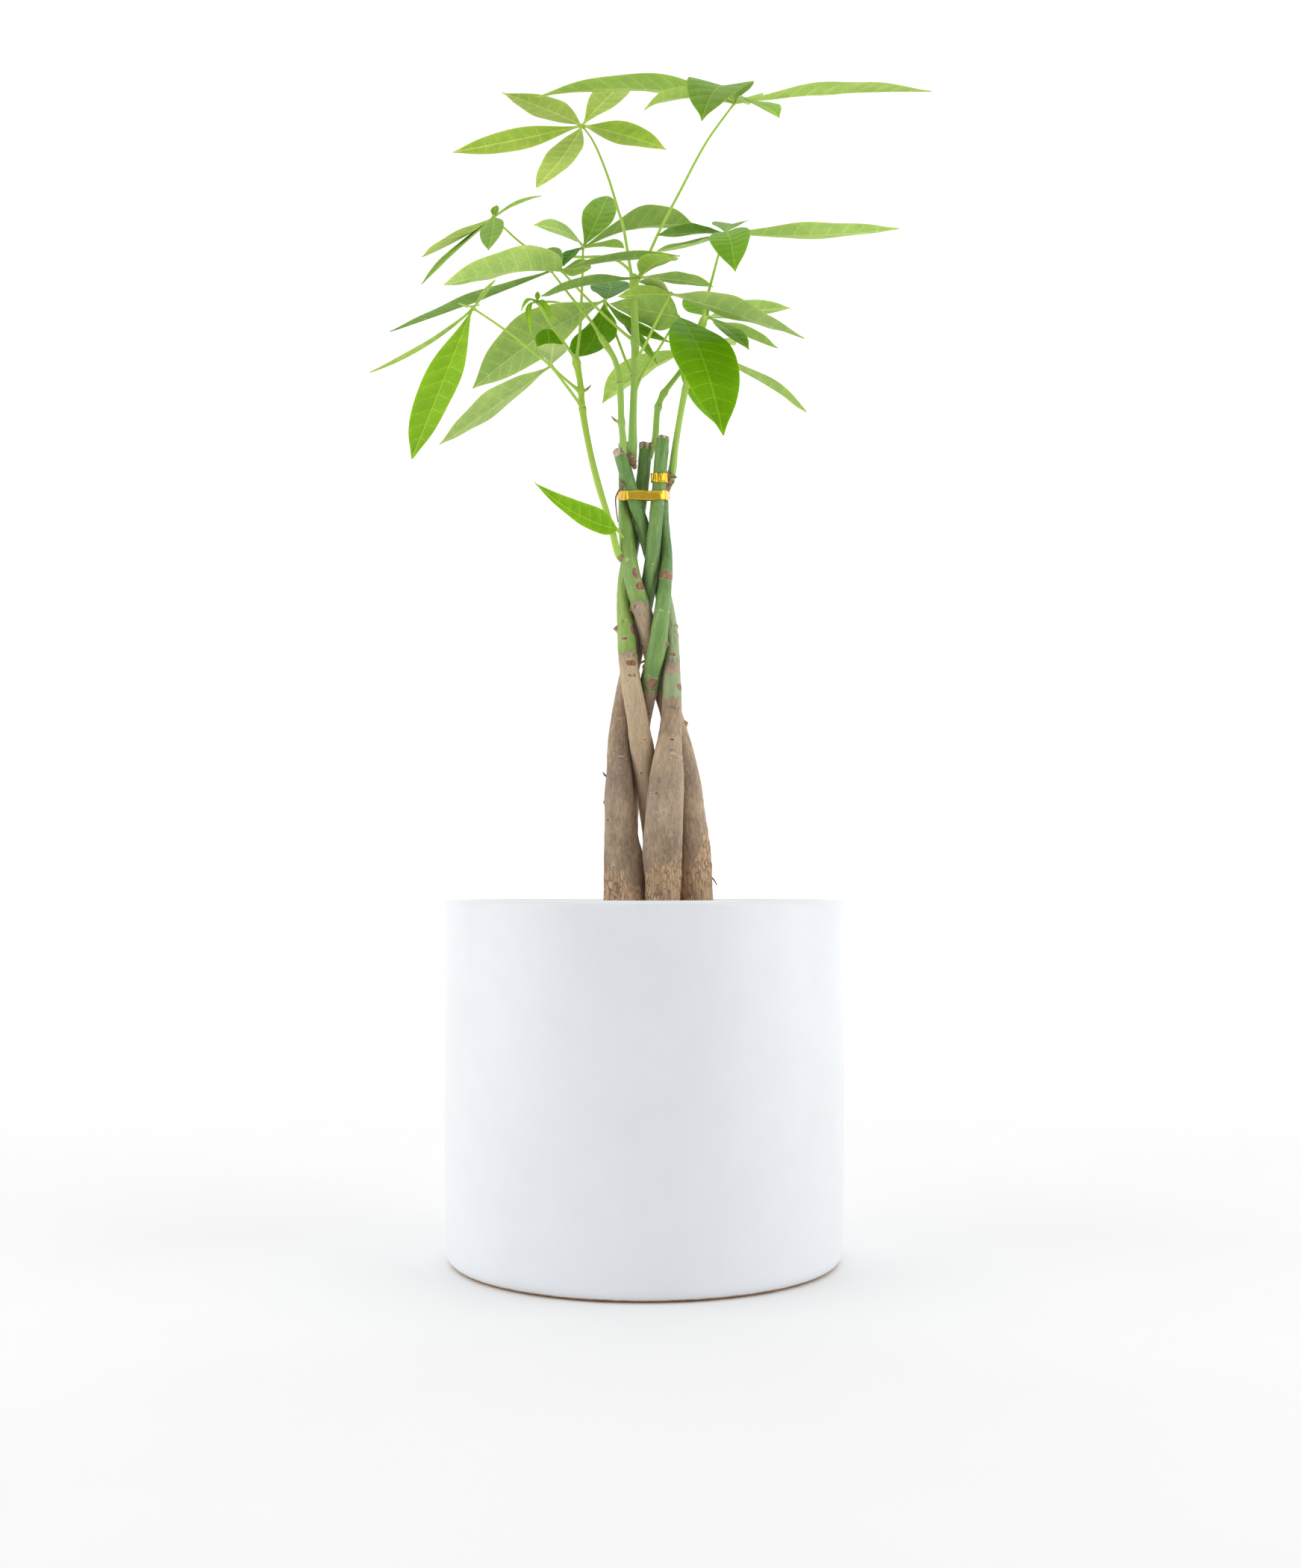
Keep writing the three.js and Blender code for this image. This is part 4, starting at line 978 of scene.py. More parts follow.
def stem_finish(look):
    """Shoots and stalks: green that turns from old to new by age, with fine lines along it, small
    pale specks and brown, corky joints."""
    def lay(b):
        grain = b.mark("grain", "Vector")
        line = b.fibres(grain, (1900.0, 1900.0, 60.0))
        green = b.layer(look.old, look.new, b.mark("age"))
        green = b.layer(green, toned(look.old, 0.7), line, 0.2)
        green = b.layer(green, toned(look.new, 1.5), b.specks(grain, 1100.0, 0.2, 0.3), 0.35)
        warp = b.noise(grain, 900.0, 3.0)
        brown = b.step(b.times(b.minus(warp, 0.5), 0.7, b.mark("scar")), 0.34, 0.6)
        cork = b.mottle(grain, 1400.0, look.cork, look.deep_cork)
        return {
            "Base Color": b.layer(green, cork, brown),
            "Roughness": b.times(brown, 0.35, 0.45),
            "Normal": b.bump(b.times(b.times(brown, warp), 4.0, line), 0.00012, 0.7),
        }
    return finish("Green stems", lay, Subsurface_Weight=0.2, Subsurface_Scale=0.001,
                  Subsurface_Radius=(0.8, 1.0, 0.2), Specular_IOR_Level=0.25)


def blade_finish(name, vein_light, side, bulge, rough, sheen):
    """One side of the leaves: the tone of the blade in faint patches and grains, with paler veins,
    a painted highlight along the rim, a fine net and painted shade in the middle of each panel
    between the side veins, and the leaf bulging between the veins, or on the underside the veins
    standing out."""
    def lay(b):
        at = b.place()
        made = b.group("Leaf veins", {
            "Vector": at, "Phase": b.mark("phase"), "Pitch": b.mark("pitch"),
            "Rib": b.mark("rib"), "Rim": b.mark("rim"), "Width": 0.4,
            "Side": b.times(b.mark("bold"), side)})
        veins, net, panel = made["Veins"], made["Net"], made["Panel"]
        patch = b.mottle(at, 90.0, (1.08, 1.07, 1.03), (0.88, 0.91, 0.84))
        leaf = b.vector("MULTIPLY", b.mark("tone", "Vector"), patch)
        grain = b.noise(at, 2200.0, 2.0)
        leaf = b.shade(leaf, b.step(grain, 0.3, 0.7, 0.9, 1.1))
        # Painted shade: the blade a little darker in the middle of each panel between the side
        # veins
        leaf = b.shade(leaf, b.times(panel, -0.05, 1.03))
        light = b.vector("MULTIPLY_ADD", leaf, vein_light, (0.04, 0.045, 0.015))
        # Painted highlight: the rim made paler within half a millimetre of its edge
        rim = b.step(b.mark("rim"), 0.05, 0.5, 0.45, 0.0)
        leaf = b.layer(leaf, light, net, 0.3)
        leaf = b.layer(leaf, light, b.math("MAXIMUM", veins, rim))
        height = b.times(panel, bulge, b.times(veins, -bulge))
        height = b.times(grain, 0.12, height)
        height = b.times(net, bulge * -0.2, height)
        return {
            "Base Color": leaf,
            "Roughness": b.plus(b.times(veins, 0.08), rough),
            "Normal": b.bump(height, 0.00028, 0.8),
        }
    return finish(name, lay, Subsurface_Weight=0.4, Subsurface_Scale=0.0012,
                  Subsurface_Radius=(0.7, 1.0, 0.1), Specular_IOR_Level=sheen)


def foil_finish(tie):
    """Smooth gold foil: metal with a soft tint, and a few long creases where the slope changes."""
    def lay(b):
        at = b.place()
        deep = [c * k for c, k in zip(tie.foil, (0.92, 0.78, 0.6))]
        return {
            "Base Color": b.mottle(at, 160.0, tie.foil, deep),
            "Roughness": b.times(b.noise(at, 210.0, 2.0), 0.12, 0.12),
            "Normal": b.bump(b.noise(b.along(at, 0.45), 330.0, 1.0), 0.0007, 0.5),
        }
    return finish("Gold foil", lay, Metallic=1.0)


# Pieces


def stem_marks(rings, turn, radius, along, **more):
    """The grain of a stem: the place of each point on the straightened stem, in metres, as
    r cos(turn), r sin(turn) and the length along it, with the given marks beside it."""
    straight = np.stack(np.broadcast_arrays(
        radius[:, None] * np.cos(turn), radius[:, None] * np.sin(turn), along[:, None]), -1) * MM
    return {"grain": straight, **{k: np.broadcast_to(v, rings.shape[:2]) for k, v in more.items()}}


def round_from(spread, wide, aim):
    """How far each point lies round the stem from a compass angle, in millimetres."""
    return ((spread - math.radians(aim) + np.pi) % (2 * np.pi) - np.pi) * wide


def knots_on(look, spread, height, wide):
    """How far the knots rise, exp(-1.6 d^2), and how corky they are, at each point of a trunk."""
    lift, scar = np.zeros_like(spread), np.zeros_like(spread)
    for z, aim, across, tall, rise, cork in look["knots"]:
        off = np.hypot(round_from(spread, wide, aim) / across, (height - z) / tall)
        lift += rise * np.exp(-(off**2) * 1.6)
        scar = np.maximum(scar, cork * ease(1.25, 0.75, off))
    return lift, scar


def lines_on(look, spread, far, height, wide, seed):
    """The scars of old leaves: each is a wave across its height, cos(pi d / 0.62) exp(-d^2),
    that strays a little and fades out at its reach."""
    line = np.zeros_like(spread)
    stray = 0.25 * ripple(spread, far, seed, 5, (3, 9), (9, 30))
    for z, aim, reach, tall in look["lines"]:
        beside = round_from(spread, wide, aim)
        bow = 0.3 * np.sin(2 * spread + z) + 0.05 * beside
        off = (height - z - bow + stray) / tall
        line += (np.cos(np.pi * off / 0.62) * np.exp(-(off**2))
                 * ease(reach, reach * 0.7, np.abs(beside)))
    return line


def shade_between_trunks(name, rings):
    """The mask of the painted shade between trunks: how close each point of a trunk is to
    another trunk, 1 where they nearly touch and 0 at NEAR millimetres."""
    near = np.zeros(rings.shape[:2])
    for other in set(TRUNKS) - {name}:
        row = smooth_path(TRUNKS[other], 6)
        x, y, r = (np.interp(rings[..., 2], row[:, 2], row[:, q]) for q in (0, 1, 3))
        gap = np.hypot(rings[..., 0] - x, rings[..., 1] - y) - r
        near = np.maximum(near, ease(NEAR, 0.2, gap) * (rings[..., 2] < row[-1, 2]))
    return near


def add_trunk(name, settings, material):
    """A trunk: a round profile on its route, r + relief (lumps) + tear (flare) (torn fibres)
    + the knots + the lines of leaf scars, closed by a rough lip round the cut top."""
    look = BARK[name]
    seed = int(name[-1])
    path = smooth_path(TRUNKS[name], 28)
    turn = 2 * np.pi * np.arange(64) / 64
    along = length_along(path[:, :3])
    ahead, across, beside = frames(path[:, :3], np.array([1.0, 0, 0]))
    spread, far, height, wide = (v * np.ones((len(path), len(turn))) for v in (
        turn, along[:, None], path[:, 2:3], path[:, 3:4]))
    torn, lean = look["flare"]
    wander = ripple(spread, far, seed + 10, 6, (3, 9), (60, 200))
    flare = ease(7, -7, height - torn - lean * np.cos(spread) + 1.8 * wander)
    relief, tear = settings.relief / MM, settings.tear / MM
    rise, scar = knots_on(look, spread, height, wide)
    line = lines_on(look, spread, far, height, wide, seed + 50)
    lift = relief * ripple(spread, far, seed, 9, (1, 5), (14, 60)) * wide / 5
    lift += 0.4 * relief * ripple(spread, far, seed + 20, 10, (4, 12), (4, 16))
    lift += tear * flare * ripple(spread, far, seed + 30, 14, (9, 22), (7, 26))
    lift += rise + 0.1 * line
    green = np.max([np.minimum(height - low, high - height) for low, high in look["green"]], 0)
    fresh = sum(amount * ease(low - 3, low + 3, height) * ease(high + 3, high - 3, height)
                for low, high, amount in look["fresh"])
    left = (along[-1] - along)[:, None]
    chip = ripple(turn, turn * 0, seed + 40, 6, (2, 6), (10, 20))
    lift += ease(look["lip"] + 0.3, look["lip"] - 0.3, left) * (0.12 + 0.05 * chip)
    rings = rings_round(path[:, :3], across, beside, wide + lift, turn)
    top, out = path[-1, :3], rings[-1] - path[-1, :3]
    lips = [top + out * k + ahead[-1] * (d + 0.14 * chip[:, None] * k) for k, d, _ in CUT_TOP]
    rings = np.concatenate([rings, lips])
    cut = np.concatenate([ease(look["lip"] + 0.5, look["lip"] - 0.4, left),
                          [[heart] for _, _, heart in CUT_TOP]])
    pad = lambda v: np.concatenate([v, np.repeat(v[-1:], len(CUT_TOP), 0)])
    shell = Shell()
    # near is the mask where shade is painted between this trunk and the others
    shell.skin(rings, **stem_marks(
        rings, turn, pad(path[:, 3]), pad(along), near=shade_between_trunks(name, rings), green=pad(green),
        fresh=pad(fresh), flare=pad(flare), scar=pad(scar), line=pad(line), cut=cut))
    for rows in look["twigs"]:
        twig = smooth_path(rows, 6)
        add_stem(shell, twig[:, :3], twig[:, 3], np.zeros(len(twig)), np.ones(len(twig)), 8)
    return shell.piece(name + "_bark", [material], name)


def add_stem(shell, path, radius, age, scar=None, sides=14, finish_of=0):
    """A thin stem on a smooth route, with a rounded tip and a closed foot."""
    chord = unit(path[-1] - path[0])
    side = np.eye(3)[np.argmin(np.abs(chord))]
    turn = 2 * np.pi * np.arange(sides) / sides
    along = length_along(path)
    ahead, across, beside = frames(path, unit(np.cross(chord, side)))
    rings = rings_round(path, across, beside, radius, turn)
    end = [path[-1] + (rings[-1] - path[-1]) * k + ahead[-1] * radius[-1] * d
           for k, d in ((0.86, 0.5), (0.5, 0.86), (0.12, 0.99))]
    start = [path[0] + (rings[0] - path[0]) * k - ahead[0] * radius[0] * d
             for k, d in ((0.5, 0.86), (0.86, 0.5))]
    rings = np.concatenate([start, rings, end])
    pad = lambda v: np.concatenate([v[:1], v[:1], v, v[-1:], v[-1:], v[-1:]])
    scar = np.zeros(len(path)) if scar is None else scar
    shell.skin(rings, finish_of, **stem_marks(rings, turn, pad(radius), pad(along),
                                              age=pad(age)[:, None], scar=pad(scar)[:, None]))


def add_thorn(shell, foot, aim):
    """A thorn 3.2 mm long: a taper that starts inside the shoot and curves up by 2.2 t^2."""
    a = math.radians(aim)
    t = np.linspace(0, 1, 9)
    path = foot + np.stack([math.cos(a) * (0.6 + 3.2 * t), math.sin(a) * (0.6 + 3.2 * t),
                            2.2 * t**2], 1)
    add_stem(shell, path, 0.75 * (1 - 0.8 * t) + 0.08, np.full(9, 0.7), 0.9 * t + 0.1, 8)


def add_lump(shell, centre, radii, seed):
    """A corky lump: a ball, squashed and pitted, with its poles closed."""
    up = np.linspace(-90, 90, 14)[1:-1] * np.pi / 180
    turn = 2 * np.pi * np.arange(22) / 22
    wide, tall = np.cos(up)[:, None], np.sin(up)[:, None] * np.ones(22)
    pits = 1 + 0.11 * ripple(np.broadcast_to(turn, (12, 22)), tall * 4, seed, 8, (1, 6), (2, 6))
    ball = np.stack([wide * np.cos(turn), wide * np.sin(turn), tall], -1) * pits[..., None]
    rings = ball * np.array(radii) + np.array(centre)
    shell.skin(rings, 0, grain=rings * MM, scar=np.ones(rings.shape[:2]))


def add_shoot(name, material):
    """A shoot with swollen joints, r + rise exp(-(dz / 1.3)^2), brown at each joint, with its
    thorns and the corky lumps round its foot."""
    look = SHOOT_SKIN[name]
    path = smooth_path(SHOOTS[name], 16)
    z, radius = path[:, 2], path[:, 3].copy()
    scar = look["cork"] * ease(z[0] + 5, z[0] + 2, z)
    for at, rise in look["joints"]:
        radius += rise * np.exp(-(((z - at) / 1.3) ** 2))
        scar = np.maximum(scar, 0.46 * np.exp(-(((z - at) / 0.7) ** 2)))
    young, grown = look["age"]
    age = young + (grown - young) * (z - z[0]) / (z[-1] - z[0])
    shell = Shell()
    add_stem(shell, path[:, :3], radius, age, scar)
    for at, aim in look["thorns"]:
        add_thorn(shell, path[np.argmin(np.abs(z - at)), :3], aim)
    for number, (x, y, at, *radii) in enumerate(look["lumps"]):
        add_lump(shell, (x, y, at), radii, number)
    return shell.piece(name + "_stem", [material], name)


def blade_frame(hub, facing, row, shape, t):
    """The midrib, the direction across the blade and the one it faces, at each t. The midrib runs
    hub + along L t + (over arch + level bend) L 4 t (1 - t), and the blade rolls about it by
    turn + twist (t - 0.5)."""
    aim, rise, length = row[:3]
    a, c = math.radians(aim), math.radians(rise)
    along = np.array([math.cos(a) * math.cos(c), math.sin(a) * math.cos(c), math.sin(c)])
    level = unit(np.cross(along, facing))
    over = np.cross(level, along)
    hump = over * shape["arch"] + level * shape["bend"]
    centre = hub + along * length * t + hump * length * 4 * t * (1 - t)
    ahead = unit(along + hump * 4 * (1 - 2 * t))
    roll = np.radians(shape["turn"] + shape["twist"] * (t - 0.5))
    side = level * np.cos(roll) + over * np.sin(roll)
    side = unit(side - (side * ahead).sum(1, keepdims=True) * ahead)
    return centre, side, np.cross(side, ahead)


def blade_surface(hub, facing, row, settings, seed):
    """A leaf blade. The half width is W / 2 times sin(pi t^peak)^(1.25 - full t), drawn in before
    the tip. The halves stand up as a shallow V, the rim waves, and the leaf bulges between the
    side veins by quilt |sin(pi phase)|. Gives the rings, which run over the upper side and back
    under it, and the marks at their points."""
    length, width = row[2:4]
    shape = {**BLADE_SHAPE, **(row[5] if len(row) > 5 else {})}
    t = np.linspace(0, 1, 65)[:, None]
    centre, side, face = blade_frame(hub, facing, row, shape, t)
    body = np.maximum(np.sin(np.pi * t ** shape["peak"]), 0) ** (1.25 - shape["full"] * t)
    half = 0.5 * width * body * (1 - shape["tip"] * np.exp(-(((1 - t) / 0.09) ** 2)))
    half = np.maximum(half, 0.55 - 0.35 * t)
    u = np.concatenate([-HALF_BLADE[:0:-1], HALF_BLADE])
    rng = np.random.default_rng(seed)
    turns, phase_of = rng.uniform(1.6, 3.2, 2), rng.uniform(0, 2 * np.pi, 2)
    across = np.abs(u) * half
    count = max(6, round(settings.veins * (length / 77) ** 0.6))
    phase = count * (t**0.94 - (0.42 * across + 0.018 * across**2) / length) + 0.35
    swell = settings.quilt / MM * min(width / 22, 1) * np.abs(np.sin(np.pi * phase)) ** 0.8
    swell *= ease(0, 0.35, across / (0.5 * width + 1e-6)) * ease(1.02, 0.75, np.abs(u))
    k = np.where(u > 0, 0, 1)
    waves = (half * settings.wave * u**2 * np.sin(2 * np.pi * turns[k] * t + phase_of[k])
             * ease(0, 0.2, t) * ease(1, 0.7, t))
    stand = shape["fold"] * half * (np.sqrt(u**2 + 0.012) - 0.11) + waves + swell
    slim = settings.thickness / MM * (1 - 0.55 * ease(0.6, 1, np.abs(u))) * np.ones_like(t)
    rib = (0.5 - 0.4 * t) * np.exp(-((across / 0.42) ** 2)) * ease(0, 0.04, 1 - t)
    upper = np.stack([u * half, stand + slim / 2 - 0.2 * rib], -1)
    under = np.stack([u * half, stand - slim / 2 - rib], -1)[:, ::-1]
    flat = np.concatenate([upper, under], 1)
    rings = centre[:, None] + side[:, None] * flat[..., :1] + face[:, None] * flat[..., 1:]
    both = lambda v: np.concatenate([v, v[:, ::-1]], 1)
    # light carries the painted light and shade of each blade together with its own tone, and pale
    # a painted highlight towards the tip
    marks = {"phase": both(phase), "rib": both(across), "rim": both(half - across),
             "pitch": np.full(rings.shape[:2], length / count),
             "bold": np.full(rings.shape[:2], min((length / 60) ** 1.4, 1.5)),
             "light": shape["light"] * (1 + shape["pale"] * ease(0.3, 1, t))}
    return rings, marks


def add_leaf(name, settings, shoots, upper, under, stem):
    """A leaf: its stalk, swollen at the foot and at the hub, and its blades, closed thin skins
    whose upper and lower sides have their own finish and tone."""
    leaf = LEAVES[name]
    shell = Shell()
    path = smooth_path([*leaf["stalk"], leaf["hub"]], 12)
    far = length_along(path)
    whole = far[-1]
    radius = shoots.stalk / MM * (1.3 - 0.5 * far / whole)
    radius += 0.35 * np.exp(-((far / 2.2) ** 2)) + 0.4 * np.exp(-(((whole - far) / 1.3) ** 2))
    add_stem(shell, path, radius, 0.7 + 0.3 * far / whole, sides=12, finish_of=2)
    hub, facing = np.array(leaf["hub"], float), np.array(leaf.get("facing", UP), float)
    for number, row in enumerate(leaf["blades"]):
        rings, marks = blade_surface(hub, facing, row, settings, ord(name[-1]) * 10 + number)
        n, m = rings.shape[:2]
        on_top = np.arange(m)[:, None] < m // 2
        tone, below = (np.array(getattr(settings, row[4] + end)) for end in ("", "_under"))
        # The tone times light, which holds painted light and shade
        marks["tone"] = np.where(on_top, tone, below) * marks.pop("light")[:, :, None]
        shell.skin(rings, 0, **marks)
        shell.quad_finish[-1].reshape(n - 1, m)[:, m // 2:] = 1
    return shell.piece(name + "_hand", [upper, under, stem], name)


def add_pot(pot):
    """The pot: a profile turned about the axis. It runs out over the underside, up the rounded
    foot and the wall, over the lip and down the inside to the floor."""
    r, h, w, f, low = (v / MM for v in (pot.radius, pot.height, pot.wall, pot.foot, pot.floor))
    quarter = np.linspace(-90, 0, 13) * np.pi / 180
    lip = np.linspace(0, 180, 21) * np.pi / 180
    cove = np.linspace(0, 90, 9) * np.pi / 180
    foot, inner = r - pot.taper / MM, r - w - pot.taper / MM
    up, down = np.linspace(f, h - w / 2, 42)[1:-1], np.linspace(h - w / 2, low + 6, 26)[1:-1]
    profile = np.vstack([
        np.stack([np.linspace(2, foot - f, 24), np.zeros(24)], 1),
        np.stack([foot - f + f * np.cos(quarter), f + f * np.sin(quarter)], 1)[1:],
        np.stack([foot + (r - foot) * (up - f) / (h - w / 2 - f), up], 1),
        np.stack([r - w / 2 + w / 2 * np.cos(lip), h - w / 2 + w / 2 * np.sin(lip)], 1),
        np.stack([inner + (r - foot) * (down - low - 6) / (h - w / 2 - low - 6), down], 1),
        np.stack([inner - 6 + 6 * np.cos(cove), low + 6 - 6 * np.sin(cove)], 1),
        np.stack([np.linspace(inner - 6, 2, 12)[1:], np.full(11, low)], 1),
    ])[::-1]
    turn = -2 * np.pi * np.arange(160) / 160
    shell = Shell()
    shell.skin(np.stack(np.broadcast_arrays(
        profile[:, :1] * np.cos(turn), profile[:, :1] * np.sin(turn), profile[:, 1:]), -1))
    return shell.piece("cover_pot", [glaze_finish(pot)], "pot")


def surface_height(x, y, inner, top, dome):
    """Height of the soil: a low dome with small heaps, which are crossed sine waves."""
    away = (x**2 + y**2) / inner**2
    heaps = (np.sin(x * 0.31 + 1.3 * np.sin(y * 0.17)) * np.sin(y * 0.27 + 1.1 * np.sin(x * 0.21))
             + 0.4 * np.sin(x * 0.93 + y * 0.4) * np.sin(y * 1.1 - x * 0.3))
    return top - 0.8 - dome * away + 0.7 * heaps * ease(1, 0.96, away)


def soil_bits(soil, inner, top, dome):
    """The bits of bark and the white grains: balls, squashed and turned at random. Gives their
    rings and the tone of each, 0 to 1, or 2 for a grain."""
    rng = np.random.default_rng(7)
    count = soil.chips + soil.grit
    grit = np.arange(count) >= soil.chips
    away = (inner - 3) * np.sqrt(rng.uniform(0.0, 1, count))
    angle = rng.uniform(0, 2 * np.pi, count)
    x, y = away * np.cos(angle), away * np.sin(angle)
    axes = np.where(grit[:, None], rng.uniform(0.5, 1.2, (count, 3)),
                    rng.uniform([1.2, 0.7, 0.4], [4.2, 2.2, 1.1], (count, 3)))
    yaw, lean = rng.uniform(0, 2 * np.pi, count), rng.uniform(-0.35, 0.35, count)
    up = np.linspace(-90, 90, 8)[1:-1, None] * np.pi / 180
    go = 2 * np.pi * np.arange(8) / 8
    ball = np.stack(np.broadcast_arrays(np.cos(up) * np.cos(go), np.cos(up) * np.sin(go),
                                        np.sin(up)), -1)
    ball = ball[None] * axes[:, None, None] * rng.uniform(0.78, 1.15, (count, 6, 8, 1))
    cy, sy, cl, sl = np.cos(yaw), np.sin(yaw), np.cos(lean), np.sin(lean)
    turned = np.stack([np.stack([cy * cl, -sy, cy * sl], -1), np.stack([sy * cl, cy, sy * sl], -1),
                       np.stack([-sl, np.zeros(count), cl], -1)], 1)
    ball = np.einsum("kij,knmj->knmi", turned, ball)
    base = surface_height(x, y, inner, top, dome) + axes[:, 2] * 0.35
    ball += np.stack([x, y, base], -1)[:, None, None]
    return ball, np.where(grit, 2.0, rng.uniform(0, 1, count))


def add_soil(soil, pot):
    """The soil: a lathe body whose top is a low dome with heaps, with bits of bark and white
    grains on it."""
    inner = (pot.radius - pot.wall) / MM - 0.7
    low, foot = pot.floor / MM + 0.3, (pot.radius - pot.wall - pot.taper) / MM - 0.3
    top, dome = soil.top / MM, soil.dome / MM
    turn = 2 * np.pi * np.arange(144) / 144
    spread = np.linspace(1, 0.02, 60)[:, None]
    x, y = inner * spread * np.cos(turn), inner * spread * np.sin(turn)
    cover = np.stack([x, y, surface_height(x, y, inner, top, dome)], -1)
    wall = np.array([low, low + 6, 70, 95, 105])
    out = np.interp(wall, [low, low + 6, 105], [foot - 6, foot, inner])[:, None]
    side = np.stack(np.broadcast_arrays(out * np.cos(turn), out * np.sin(turn), wall[:, None]), -1)
    rings = np.concatenate([side, cover])
    bits, tone = soil_bits(soil, inner, top, dome)
    shell = Shell()
    shell.skin(rings, tone=np.zeros(rings.shape[:2]))
    shell.skin(bits, 1, tone=np.broadcast_to(tone[:, None, None], bits.shape[:3]))
    return shell.piece("potting_soil", [soil_finish(soil), chip_finish(soil)], "soil")


def trunk_circle(name, z):
    """Centre and radius of a trunk at a height, from its route."""
    path = smooth_path(TRUNKS[name], 24)
    return np.array([np.interp(z, path[:, 2], path[:, k]) for k in (0, 1, 3)])


def add_tie(name, trunks, z, tie, material):
    """A foil strip round the trunks. Its route is their outline seen from above over the whole
    width of the strip: in each direction the circle that reaches furthest, c + (r + clear) n. The
    strip is crinkled by sine waves over its route and width, and its rims are rolled. It rises
    towards the back."""
    w, t = tie.width / MM, tie.thickness / MM
    circles = np.array([trunk_circle(name, z + w * k) for name in trunks for k in (-0.5, 0, 0.5)])
    fan = 2 * np.pi * np.arange(720) / 720
    out = np.stack([np.cos(fan), np.sin(fan)], -1)
    best = np.argmax(circles[:, :2] @ out.T + circles[:, 2:], 0)
    hull = circles[best, :2] + (circles[best, 2:] + tie.clear / MM + t / 2) * out
    closed = np.vstack([hull, hull[:1]])
    far = length_along(closed)
    steps = np.linspace(0, far[-1], 361)[:-1]
    loop = np.stack([np.interp(steps, far, closed[:, k]) for k in (0, 1)], -1)
    ahead = unit(np.roll(loop, -1, 0) - np.roll(loop, 1, 0))
    normal = np.stack([ahead[:, 1], -ahead[:, 0]], -1)
    v = np.concatenate([np.linspace(-0.5, 0.5, 15), np.linspace(0.5, -0.5, 15)])
    s = steps[:, None] / far[-1] * 2 * np.pi
    crinkle = ripple(s, v * w, 5 + len(trunks), 9, (5, 24), (6, 20)) * tie.crinkle / MM
    roll = 0.16 * np.exp(-(((np.abs(v) - 0.42) / 0.08) ** 2))
    flange = np.repeat([0.5, -0.5], 15) * t + roll + crinkle
    edge = 0.94 + 0.06 * ripple(s, 0 * s, 9, 5, (5, 17), (9, 10))
    back = loop[:, 1:] - loop[:, 1].min()
    rise = v * w * edge + tie.sway / MM * 0.5 * np.sin(s * 5) + tie.tilt * back
    place = loop[:, None] + normal[:, None] * flange[..., None]
    rings = np.concatenate([place, (z + rise)[..., None]], -1)
    shell = Shell()
    shell.skin(np.concatenate([rings, rings[:1]])[:, ::-1])
    return shell.piece(name + "_foil", [material], name)


# Operators


class PlantOperator(bpy.types.Operator):
    """Shared by the operators of the plant"""
    bl_options = {"REGISTER", "UNDO"}


class MakePot(PlantOperator):
    """Make the white pot"""
    bl_idname = "moneytree.make_pot"
    bl_label = "Pot"

    def execute(self, context):
        add_pot(context.scene.moneytree_pot)
        return {"FINISHED"}


class MakeSoil(PlantOperator):
    """Fill the pot with soil, bark bits and grains"""
    bl_idname = "moneytree.make_soil"
    bl_label = "Soil"

    def execute(self, context):
        add_soil(context.scene.moneytree_soil, context.scene.moneytree_pot)
        return {"FINISHED"}


class MakeTrunks(PlantOperator):
    """Make the five braided trunks"""
    bl_idname = "moneytree.make_trunks"
    bl_label = "Trunks"

    def execute(self, context):
        settings = context.scene.moneytree_trunks
        for name in TRUNKS:
            add_trunk(name, settings, trunk_finish(settings))
        return {"FINISHED"}


class MakeShoots(PlantOperator):
    """Make the green shoots"""
    bl_idname = "moneytree.make_shoots"
    bl_label = "Shoots"

    def execute(self, context):
        for name in SHOOTS:
            add_shoot(name, stem_finish(context.scene.moneytree_shoots))
        return {"FINISHED"}


class MakeLeaves(PlantOperator):
    """Make the leaves, each with its stalk and blades"""
    bl_idname = "moneytree.make_leaves"
    bl_label = "Leaves"

    def execute(self, context):
        scene = context.scene
        upper = blade_finish("Leaf, upper side", (1.42, 1.28, 1.5), 0.7, 0.8, 0.42, 0.09)
        under = blade_finish("Leaf, underside", (1.28, 1.2, 1.34), 0.7, -0.6, 0.6, 0.1)
        for name in LEAVES:
            add_leaf(name, scene.moneytree_leaves, scene.moneytree_shoots, upper, under,
                     stem_finish(scene.moneytree_shoots))
        return {"FINISHED"}


class MakeTies(PlantOperator):
    """Wind the gold foil ties round the trunks"""
    bl_idname = "moneytree.make_ties"
    bl_label = "Ties"

    def execute(self, context):
        tie = context.scene.moneytree_ties
        for name, (trunks, height) in TIES.items():
            add_tie(name, trunks, height, tie, foil_finish(tie))
        return {"FINISHED"}


class MakeStage(PlantOperator):
    """Set the pale floor, the soft lights and the camera"""
    bl_idname = "moneytree.make_stage"
    bl_label = "Stage"

    def execute(self, context):
        stage = context.scene.moneytree_stage
        scene = context.scene
        add_sweep(stage)
        world = bpy.data.worlds.new("Studio air")
        world.use_nodes = True
        world.node_tree.nodes["Background"].inputs[0].default_value = (1, 1, 1, 1)
        world.node_tree.nodes["Background"].inputs[1].default_value = stage.air
        scene.world = world
        for name, place, target, side, power in PANELS:
            add_panel(name, place, target, side, getattr(stage, power))
        camera = bpy.data.objects.new("Camera", bpy.data.cameras.new("Camera"))
        camera.data.lens = stage.lens
        camera.data.sensor_width = 36
        camera.data.sensor_fit = "AUTO"
        camera.data.clip_start = 0.01
        camera.location = [v * MM for v in CAMERA]
        camera.rotation_euler = (math.pi / 2 + stage.tilt, 0, 0)
        scene.collection.objects.link(camera)
        scene.camera = camera
        scene.view_settings.view_transform = "Standard"
        return {"FINISHED"}


